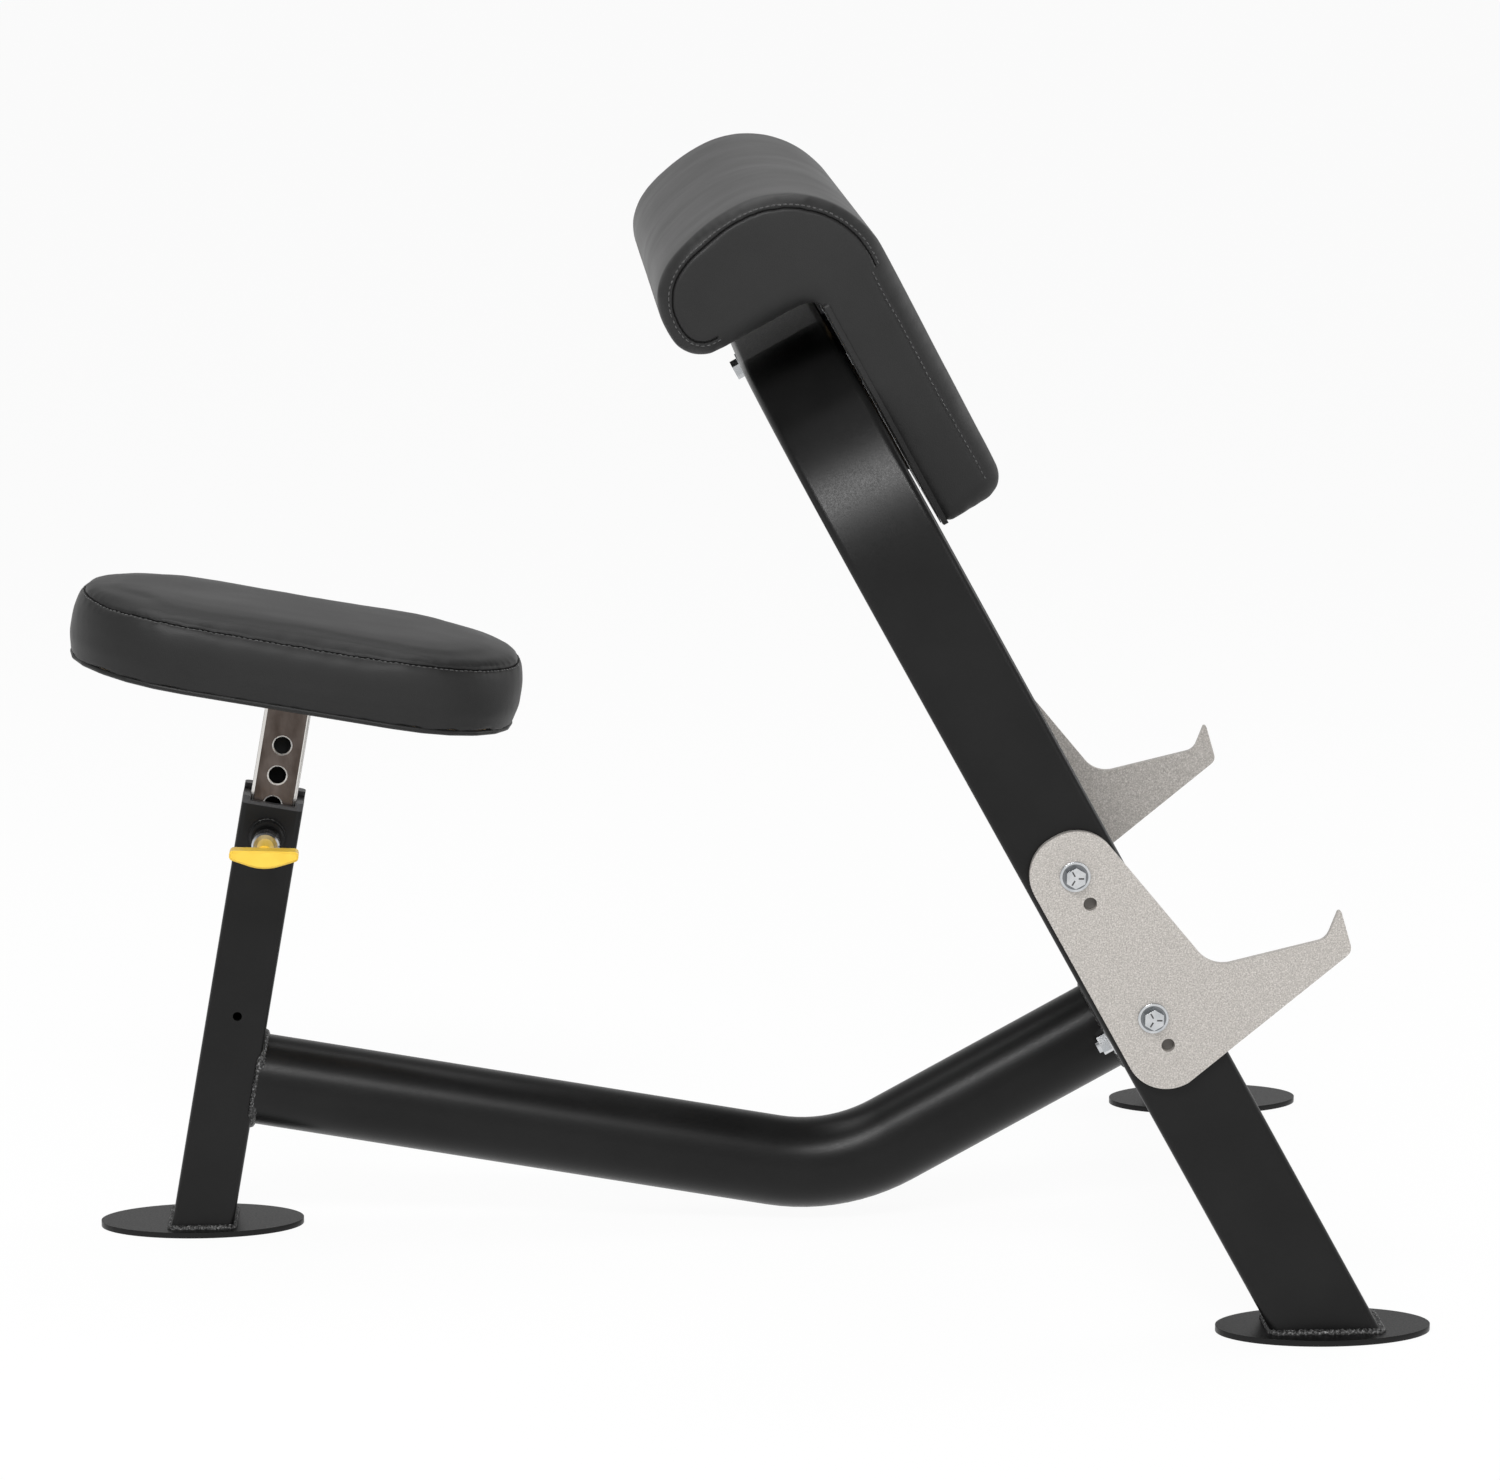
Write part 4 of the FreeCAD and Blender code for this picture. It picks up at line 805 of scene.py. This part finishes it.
def puff_up(piece, node, backing, bulge, sink):
    """Blows the vinyl up from inside, as cloth, held still where steel or plywood backs it."""
    trees = [search_tree(nodes[name].data) for name in backing]
    held = piece.vertex_groups.new(name="held")
    for vertex in piece.data.vertices:
        if any(tree.find_nearest(vertex.co, HELD_REACH)[0] for tree in trees):
            held.add([vertex.index], 1.0, "REPLACE")
    starts = [vertex.co - vertex.normal * PUFF_START for vertex in piece.data.vertices]
    for vertex, start in zip(piece.data.vertices, starts):
        vertex.co = start
    cloth = piece.modifiers.new("cloth", "CLOTH")
    cloth.settings.use_pressure = True
    cloth.settings.uniform_pressure_force = PUFF_PRESSURE
    cloth.settings.vertex_group_mass = held.name
    cloth.settings.effector_weights.gravity = 0
    cloth.point_cache.frame_end = PUFF_FRAMES
    for step in range(1, PUFF_FRAMES + 1):
        scene.frame_set(step)
    applied(piece)
    scene.frame_set(1)
    calm(piece, trees, CALM_NEAR, rounds=4)
    calm(piece, trees, CALM_FAR, rounds=20)
    keep_near(piece, node, bulge, sink)
    calm(piece, trees, CALM_FAR, rounds=2)


def calm(piece, trees, clearance, rounds):
    """Evens out the small wrinkles that lie at least a clearance away from the boards."""
    surface = bmesh.new()
    surface.from_mesh(piece.data)
    free = [vertex for vertex in surface.verts
            if not any(tree.find_nearest(vertex.co, clearance)[0] for tree in trees)]
    for _ in range(rounds):
        bmesh.ops.smooth_vert(surface, verts=free, factor=0.5,
                              use_axis_x=True, use_axis_y=True, use_axis_z=True)
    surface.to_mesh(piece.data)
    surface.free()


def keep_near(piece, node, bulge, sink):
    """Keeps the vinyl within a small distance of the CAD form, outside and inside."""
    form = search_tree(nodes[node].data)
    for vertex in piece.data.vertices:
        hit, normal, _, distance = form.find_nearest(vertex.co)
        away = vertex.co - hit
        limit = bulge if away.dot(normal) > 0 else sink
        if distance > limit:
            vertex.co = hit + away * (limit / distance)


def subdivided(piece):
    finer = piece.modifiers.new("subdivision", "SUBSURF")
    finer.levels = 1
    finer.render_levels = 1
    applied(piece)


def soft_piece(piece, node, body):
    piece.data.materials.clear()
    piece.data.materials.append(VINYL)
    piece.data.shade_smooth()
    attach(piece, body)
    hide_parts(node)


# Seams: a groove, a near-black line low in it as painted shade, and a row of stitches beside it
PATH_STEP = 1 * MM
SEAM_WIDTH = 1.5 * MM
SEAM_DEPTH = 1.4 * MM
SEAM_REACH = 6 * MM
SEAM_SPLITS = 2
SEAM_LINE_RADIUS = 0.5 * MM
SEAM_LINE_DEPTH = 0.9 * MM
SEAM_LINE_SIDES = 8
STITCH_LENGTH = 3.2 * MM
STITCH_PITCH = 4.6 * MM
STITCH_RADIUS = 0.5 * MM
STITCH_LIFT = 0.15 * MM


def on_surface(piece, path):
    """The points of a path moved onto a piece, each with the surface's direction there."""
    surface = search_tree(piece.data)
    return [surface.find_nearest(point)[:2] for point in path]


def press_seam(piece, seam, depth=SEAM_DEPTH):
    """Splits the faces along a seam finely and draws them in to a narrow groove."""
    near = path_tree([point for point, _ in seam])
    surface = bmesh.new()
    surface.from_mesh(piece.data)
    for _ in range(SEAM_SPLITS):
        close = {vertex for vertex in surface.verts if near.find(vertex.co)[2] < SEAM_REACH}
        edges = [edge for edge in surface.edges if edge.verts[0] in close and edge.verts[1] in close]
        bmesh.ops.subdivide_edges(surface, edges=edges, cuts=1, use_grid_fill=True)
    surface.normal_update()
    for vertex in surface.verts:
        distance = near.find(vertex.co)[2]
        vertex.co -= vertex.normal * depth * math.exp(-((distance / SEAM_WIDTH) ** 2))
    surface.to_mesh(piece.data)
    surface.free()


def add_seam_line(name, seam, body, closed):
    """A near-black line lying low in the groove where two panels meet: painted shade in that groove."""
    line = [point for point, _ in seam]
    rings = []
    for index, (point, normal) in enumerate(seam):
        aside = normal.cross(direction_at(line, index, closed)).normalized()
        centre = point - normal * SEAM_LINE_DEPTH
        rings.append(round_ring(centre, normal, aside, SEAM_LINE_RADIUS, SEAM_LINE_SIDES))
    add_piece(name, swept(rings, closed), SEAM, body)


def add_stitches(name, path, cushion, body, closed):
    """One row of thread stitches lying along a path on a cushion."""
    surface = search_tree(cushion.data)
    spots = resampled(path, STITCH_PITCH, closed)
    size = Matrix.Diagonal((STITCH_LENGTH / 2, STITCH_RADIUS, STITCH_RADIUS, 1))
    row = bmesh.new()
    for index, spot in enumerate(spots):
        hit, normal, _, _ = surface.find_nearest(spot)
        along = direction_at(spots, index, closed)
        aside = normal.cross(along).normalized()
        lying = Matrix.Translation(hit + normal * STITCH_LIFT) @ turned_to(along, aside, along.cross(aside))
        bmesh.ops.create_uvsphere(row, u_segments=6, v_segments=5, radius=1, matrix=lying @ size)
    add_piece(name, row, THREAD, body)


# Vinyl turned under the boards and stapled there
HEM_THICKNESS = 0.8 * MM
STAPLE_PITCH = 26 * MM
STAPLE_SIZE = (11 * MM, 1.3 * MM, 0.4 * MM)
STAPLE_SHARE = 0.8
STAPLE_LIFT = 1.1 * HEM_THICKNESS
STAPLE_SKEW = 0.2


def add_hem(name, outer, inner, down, body):
    """A flat strip between two outlines of equal count, with a row of staples towards its inner edge."""
    thick = down * HEM_THICKNESS
    rings = [(a, b, b + thick, a + thick) for (a, _), (b, _) in zip(outer, inner)]
    add_piece(name, swept(rings), VINYL, body, smooth=False)
    dice = random.Random(name)
    row = [a.lerp(b, STAPLE_SHARE) + down * STAPLE_LIFT for (a, _), (b, _) in zip(outer, inner)]
    spots = resampled(row, STAPLE_PITCH, True)
    staples = bmesh.new()
    for index, spot in enumerate(spots):
        along = direction_at(spots, index, True)
        turn = turned_to(along, down.cross(along), down)
        skew = Matrix.Rotation(dice.uniform(-STAPLE_SKEW, STAPLE_SKEW), 4, "Z")
        lying = Matrix.Translation(spot) @ turn @ skew
        bmesh.ops.create_cube(staples, matrix=lying @ Matrix.Diagonal((*STAPLE_SIZE, 1)))
    add_piece(name + "_staples", staples, FINISHES["zinc_steel"], body, smooth=False)


# Seat cushion, in the frame of the post
SEAT_HALF_LENGTH = 188.25 * MM
SEAT_HALF_WIDTH = 109 * MM
SEAT_CORNER = 103 * MM
SEAT_SEAM = 523.3 * MM
SEAT_BULGE = 0.9 * MM
SEAT_SINK = 0.5 * MM
SEAT_STITCH_DROP = 3 * MM
SEAT_HEM_LEVEL = SEAT_LEVEL - 0.1 * MM
SEAT_HEM_OUTER = 9 * MM
SEAT_HEM_INNER = 42 * MM
LIP_RADIUS = 2.2 * MM
LIP_INSET = 6.1 * MM
LIP_STEP = 4 * MM
LIP_SIDES = 10
GATHER_HEIGHT = 0.15 * MM
GATHER_REACH = 12 * MM
GATHER_END = 5 * GATHER_REACH
GATHER_PITCH = 46 * MM
GATHER_WAVES = ((0.6, 1, 0), (0.4, 0.43, 1.3))


def seat_outline(inset, level):
    """Outline of the seat drawn in by an inset, at a level along the post."""
    base = placed(POST, (0, 0, level))
    return box_path(base, SEAT_HALF_LENGTH - inset, SEAT_HALF_WIDTH - inset, SEAT_CORNER - inset)


def gather_top(piece, seam):
    """Soft folds in the top of the seat that run out from its seam: waves of (height, pace, start)."""
    near = path_tree(seam)
    into = POST.inverted()
    for vertex in piece.data.vertices:
        _, index, distance = near.find(vertex.co)
        if distance > GATHER_END or (into @ vertex.co).z < SEAT_SEAM:
            continue
        turn = index * PATH_STEP / GATHER_PITCH * math.tau
        fold = sum(height * math.sin(pace * turn + start) for height, pace, start in GATHER_WAVES)
        share = distance / GATHER_REACH
        vertex.co += vertex.normal * GATHER_HEIGHT * fold * share * math.exp(1 - share)


def add_seat_lip(up):
    """Welt along the lower edge of the seat's side."""
    path = divided(seat_outline(LIP_INSET, SEAT_LEVEL + LIP_RADIUS), LIP_STEP)
    rings = [round_ring(point, outward, up, LIP_RADIUS, LIP_SIDES) for point, outward in path]
    add_piece("seat_lip", swept(rings), VINYL, "seat")


def add_seat_cushion():
    up = POST.to_3x3() @ Vector((0, 0, 1))
    piece = remeshed("seat_cushion", "seat_upholstery")
    puff_up(piece, "seat_cushion", ["seat_board", "seat_plate"], SEAT_BULGE, SEAT_SINK)
    subdivided(piece)
    ring = resampled(level_outline("seat_cushion", POST, SEAT_SEAM), PATH_STEP, True)
    gather_top(piece, ring)
    seam = on_surface(piece, ring)
    press_seam(piece, seam)
    soft_piece(piece, "seat_cushion", "seat")
    row = [point - up * SEAT_STITCH_DROP for point, _ in seam]
    add_stitches("seat_stitches", row, piece, "seat", closed=True)
    add_seam_line("seat_seam", seam, "seat", closed=True)
    add_seat_lip(up)
    outer = seat_outline(SEAT_HEM_OUTER, SEAT_HEM_LEVEL)
    inner = seat_outline(SEAT_HEM_INNER, SEAT_HEM_LEVEL)
    add_hem("seat_hem", outer, inner, -up, "seat")


# Arm pad, in the frame of the arch: X out of the arch's front face, Z up along it
PAD_BACK = 41.3 * MM
PAD_LOW = 702 * MM
PAD_HALF = 293 * MM
PAD_BULGE = 0.2 * MM
PAD_SINK = 0.1 * MM
PANEL_INSET = 4 * MM
STITCH_OFFSET = 2.8 * MM
EVEN_REACH = 16

# Where the seam of an end panel runs: round the roll, apart from its underside
BACK_PLANE = 60 * MM
ROLL_UNDERSIDE = 916 * MM
LIP_PLANE = -40 * MM
ROLL_LOW = 904 * MM

# Stitch row and roundings below the roll
TOE_ROW = 87.5 * MM
TOE_ROW_ENDS = (900 * MM, 720 * MM)
TOE_GROOVE = SEAM_DEPTH / 3
TOE_ROUNDING = 14 * MM
ROLL_ROUNDING = 6 * MM
ROUNDING_FADE = (880 * MM, 930 * MM)

# Upper side of the roll between its front and rear roundings
ROLL_TOP = placed(ARCH, (-18 * MM, 0, 989.6 * MM), Matrix.Rotation(math.radians(-12.7), 4, "Y"))
CROWN_HEIGHT = 2 * MM
CROWN_REACH = 38 * MM
CROWN_FADE = 30 * MM

# Back of the pad: the board's hem and the vinyl folded round the rim, drawn as (inset, depth) corners
BACK_END = 886 * MM
BACK_SINK = 0.3 * MM
BACK_CORNER = 3 * MM
HEM_DEPTH = PAD_BACK - 0.1 * MM
HEM_HIGH = 893 * MM
HEM_INSET = 3 * MM
HEM_INNER_SIDE = 80 * MM
HEM_INNER_LOW = 25 * MM
HEM_INNER_HIGH = 19 * MM
EDGE_HIGH = 897 * MM
EDGE_FOLD = (
    (0.4 * MM, 46 * MM),
    (0.4 * MM, 42.2 * MM),
    (1.4 * MM, 41.4 * MM),
    (9.5 * MM, 41.4 * MM),
    (9.5 * MM, 46 * MM),
)


def crowned(point):
    """A point of the roll, lifted where its upper side runs flat between the roundings."""
    spot = ROLL_TOP.inverted() @ point
    share = abs(spot.x) / CROWN_REACH
    fade = min(1.0, 1 + spot.z / CROWN_FADE)
    if share < 1 and fade > 0:
        spot.z += CROWN_HEIGHT * math.cos(share * math.pi / 2) ** 2 * fade
    return ROLL_TOP @ spot


def offset_line(points, distance):
    """A closed outline across the bench moved inwards by a distance."""
    flat = [ARCH.inverted() @ point for point in points]
    area = sum(a.x * b.z - b.x * a.z for a, b in zip(flat, flat[1:] + flat[:1]))
    made = []
    for index, point in enumerate(flat):
        along = direction_at(flat, index, True)
        inward = Vector((-along.z, 0, along.x)) * math.copysign(1, area)
        made.append(ARCH @ (point + inward * distance))
    return made


def outer_run(points):
    """The stretch of the pad's end outline from the lip at the back round the roll to its front."""
    flat = [ARCH.inverted() @ point for point in points]
    free = [spot.z > ROLL_LOW and (spot.x > BACK_PLANE or spot.z > ROLL_UNDERSIDE or spot.x < LIP_PLANE)
            for spot in flat]
    start = next(index for index in range(len(free)) if free[index] and not free[index - 1])
    turned = points[start:] + points[:start]
    return turned[:sum(free)]


def evened(points):
    """A line of points with its small kinks averaged out."""
    made = []
    for index in range(len(points)):
        reach = min(EVEN_REACH, index, len(points) - 1 - index)
        near = points[index - reach:index + reach + 1]
        made.append(sum(near, Vector()) / len(near))
    return made


def seam_path(outline, inset):
    """The line of the end panel's seam, drawn in from the panel's outline."""
    return [crowned(point) for point in evened(outer_run(offset_line(outline, inset)))]


def toe_row(side):
    """The straight stitch row on the end panel, from the roll down to the toe."""
    high, low = (ARCH @ Vector((TOE_ROW, side * PAD_HALF, level)) for level in TOE_ROW_ENDS)
    return resampled([high, low], PATH_STEP, False)


def round_front_ends(piece):
    """Rounds the edges between the pad's front face, its ends and its toe."""
    into = ARCH.inverted()
    spots = [into @ vertex.co for vertex in piece.data.vertices]
    start, end = ROUNDING_FADE
    front = max(spot.x for spot in spots if spot.z < start)
    for vertex, spot in zip(piece.data.vertices, spots):
        fade = max(0.0, (spot.z - start) / (end - start))
        radius = TOE_ROUNDING + fade * (ROLL_ROUNDING - TOE_ROUNDING)
        over_x = spot.x - (front - radius)
        over_y = abs(spot.y) - (PAD_HALF - radius)
        over_z = PAD_LOW + radius - spot.z
        if spot.z > end or over_x <= 0:
            continue
        reach = math.hypot(over_x, max(over_y, 0), max(over_z, 0))
        if reach <= radius:
            continue
        share = radius / reach
        spot.x = front - radius + over_x * share
        if over_y > 0:
            spot.y = math.copysign(PAD_HALF - radius + over_y * share, spot.y)
        if over_z > 0:
            spot.z = PAD_LOW + radius - over_z * share
        vertex.co = ARCH @ spot


def flatten_back(piece):
    """Keeps the pad's back from bulging through its hem."""
    into = ARCH.inverted()
    for vertex in piece.data.vertices:
        spot = into @ vertex.co
        if spot.z < BACK_END and spot.x < PAD_BACK + BACK_SINK:
            spot.x = PAD_BACK + BACK_SINK
            vertex.co = ARCH @ spot


def crown_roll(piece):
    for vertex in piece.data.vertices:
        vertex.co = crowned(vertex.co)


def pad_back_outline(inset, low, high, depth):
    """Rounded rectangle on the back of the pad, at a depth out of the arch's face."""
    base = placed(ARCH, (depth, 0, (low + high) / 2), FACING_X)
    return box_path(base, PAD_HALF - inset, (high - low) / 2, BACK_CORNER)


def add_pad_edge():
    """Vinyl folded round the rim of the pad's back, beside the board."""
    corners = [pad_back_outline(inset, PAD_LOW + inset, EDGE_HIGH, depth) for inset, depth in EDGE_FOLD]
    rings = [[point for point, _ in ring] for ring in zip(*corners)]
    add_piece("pad_edge", swept(rings), VINYL, "frame", smooth=False)


def add_pad_hem():
    back = ARCH.to_3x3() @ Vector((-1, 0, 0))
    outer = pad_back_outline(HEM_INSET, PAD_LOW + HEM_INSET, HEM_HIGH, HEM_DEPTH)
    inner = pad_back_outline(HEM_INNER_SIDE, PAD_LOW + HEM_INNER_LOW, HEM_HIGH - HEM_INNER_HIGH, HEM_DEPTH)
    add_hem("pad_hem", outer, inner, back, "frame")


def add_arm_pad():
    piece = remeshed("arm_pad", "arm_upholstery")
    puff_up(piece, "arm_pad", ["arch_tube", "pad_plate", "pad_board"], PAD_BULGE, PAD_SINK)
    subdivided(piece)
    round_front_ends(piece)
    flatten_back(piece)
    crown_roll(piece)
    rows = {}
    seams = {}
    for name, side in SIDES.items():
        outline = resampled(cap_outline("arm_pad", side), PATH_STEP, True)
        seam = on_surface(piece, seam_path(outline, PANEL_INSET))
        press_seam(piece, seam)
        press_seam(piece, on_surface(piece, toe_row(side)), TOE_GROOVE)
        seams["arm_seam_" + name] = seam
        rows["arm_stitches_" + name] = seam_path(outline, PANEL_INSET - STITCH_OFFSET)
        rows["toe_stitches_" + name] = toe_row(side)
    soft_piece(piece, "arm_pad", "frame")
    for name, row in rows.items():
        add_stitches(name, row, piece, "frame", closed=False)
    for name, seam in seams.items():
        add_seam_line(name, seam, "frame", closed=False)
    add_pad_edge()
    add_pad_hem()


# Raised marks on the heads of the catch bolts
CATCH_HEAD_Y = 380.6 * MM
MARK_SIZE = (4.2 * MM, 1.1 * MM, 0.7 * MM)
MARK_RADIUS = 4 * MM
MARK_COUNT = 3


def add_bolt_marks():
    bar = placed(Matrix(), (MARK_RADIUS, 0, 0), Matrix.Diagonal((*MARK_SIZE, 1)))
    for name, side in SIDES.items():
        marks = bmesh.new()
        for level in CATCH_BOLTS:
            head = placed(ARCH, (0, side * CATCH_HEAD_Y, level), FACING_SIDE)
            for mark in range(MARK_COUNT):
                turn = Matrix.Rotation(math.pi / 2 + mark * math.tau / MARK_COUNT, 4, "Z")
                bmesh.ops.create_cube(marks, matrix=head @ turn @ bar)
        add_piece("bolt_marks_" + name, marks, STAMPED, "frame", smooth=False)


# Weld beads, by the radius of their section
FOOT_BEAD = 3.6 * MM
BRACE_BEAD = 3 * MM
POST_BEAD = 3.4 * MM
SPINE_BEAD = 3.6 * MM
FLANGE_BEAD = 3.4 * MM
BOSS_BEAD = 1.5 * MM
SEAT_BEAD = 2.4 * MM
BEAD_STEP = 0.9 * MM
BEAD_SIDES = 10
RIPPLE_PITCH = 4.2 * MM
RIPPLE_BASE = 0.82
RIPPLE_RISE = 0.24
RIPPLE_CHANCE = 0.05
CRESCENT = 0.35


def add_bead(name, path, rise, radius, body="frame", finish=WELD):
    """A rippled weld bead along a closed path, between its outward side and the direction rise."""
    dice = random.Random(name)
    steps = divided(path, BEAD_STEP)
    points = [point for point, _ in steps]
    rings = []
    for index, (point, outward) in enumerate(steps):
        along = direction_at(points, index, True)
        crest = (outward + rise).normalized()
        across = along.cross(crest).normalized()
        phase = index * BEAD_STEP / RIPPLE_PITCH * math.pi
        chance = dice.uniform(-RIPPLE_CHANCE, RIPPLE_CHANCE)
        swell = radius * (RIPPLE_BASE + RIPPLE_RISE * abs(math.sin(phase)) + chance)
        swept_back = crest + along * (CRESCENT * radius / swell)
        rings.append(round_ring(point, swept_back, across, swell, BEAD_SIDES))
    add_piece(name, swept(rings), finish, body)


def add_leg_welds():
    """Beads round the two feet of the arch and the two ends of its brace."""
    up = Vector((0, 0, 1))
    foot_x = ARCH_FOOT_X - FOOT_TOP * math.tan(LEAN)
    for name, side in SIDES.items():
        leg = Matrix.Translation((foot_x, side * LEG_Y, FOOT_TOP))
        path = box_path(leg, LEG_DEPTH / 2 / math.cos(LEAN), LEG_WIDTH / 2, LEG_CORNER)
        add_bead("foot_weld_" + name, path, up, FOOT_BEAD)
        inner_face = side * (LEG_Y - LEG_WIDTH / 2)
        brace = placed(ARCH, (0, inner_face, BRACE_LEVEL), FACING_SIDE)
        path = box_path(brace, BRACE_DEPTH / 2, BRACE_HEIGHT / 2, LEG_CORNER)
        add_bead("brace_weld_" + name, path, Vector((0, -side, 0)), BRACE_BEAD)


def add_post_welds():
    """Beads at the post's foot, at both ends of the main tube, round the pin's boss and under the seat."""
    post = Matrix.Translation((POST_FOOT_X + FOOT_TOP * math.tan(TILT), 0, FOOT_TOP))
    path = box_path(post, POST_DEPTH / 2 / math.cos(TILT), POST_WIDTH / 2, POST_CORNER)
    add_bead("post_weld", path, Vector((0, 0, 1)), POST_BEAD)
    mouth = placed(POST, (POST_DEPTH / 2, 0, TUBE_LEVEL), FACING_X)
    forward = POST.to_3x3() @ Vector((1, 0, 0))
    add_bead("spine_weld", ring_path(mouth, TUBE_RADIUS, POST_WIDTH / 2), forward, SPINE_BEAD)
    collar = placed(ARCH, (FLANGE_FACE, 0, BRACE_LEVEL), FACING_X)
    backward = ARCH.to_3x3() @ Vector((-1, 0, 0))
    add_bead("flange_weld", ring_path(collar, TUBE_RADIUS), backward, FLANGE_BEAD)
    boss = placed(POST, (0, -POST_WIDTH / 2, PIN_LEVEL), FACING_SIDE)
    path = ring_path(boss, BOSS_RADIUS)
    add_bead("boss_weld", path, Vector((0, -1, 0)), BOSS_BEAD, finish=FINISHES["powder_black"])
    stem = placed(POST, (0, 0, SEAT_LEVEL - SEAT_PLATE))
    downward = POST.to_3x3() @ Vector((0, 0, -1))
    path = box_path(stem, INNER_DEPTH / 2, INNER_WIDTH / 2, INNER_CORNER)
    add_bead("seat_weld", path, downward, SEAT_BEAD, body="seat")


add_camera()
add_studio()
dress_nodes()
break_edges()
add_seat_cushion()
add_arm_pad()
add_bolt_marks()
add_leg_welds()
add_post_welds()

scene.view_settings.view_transform = "Standard"
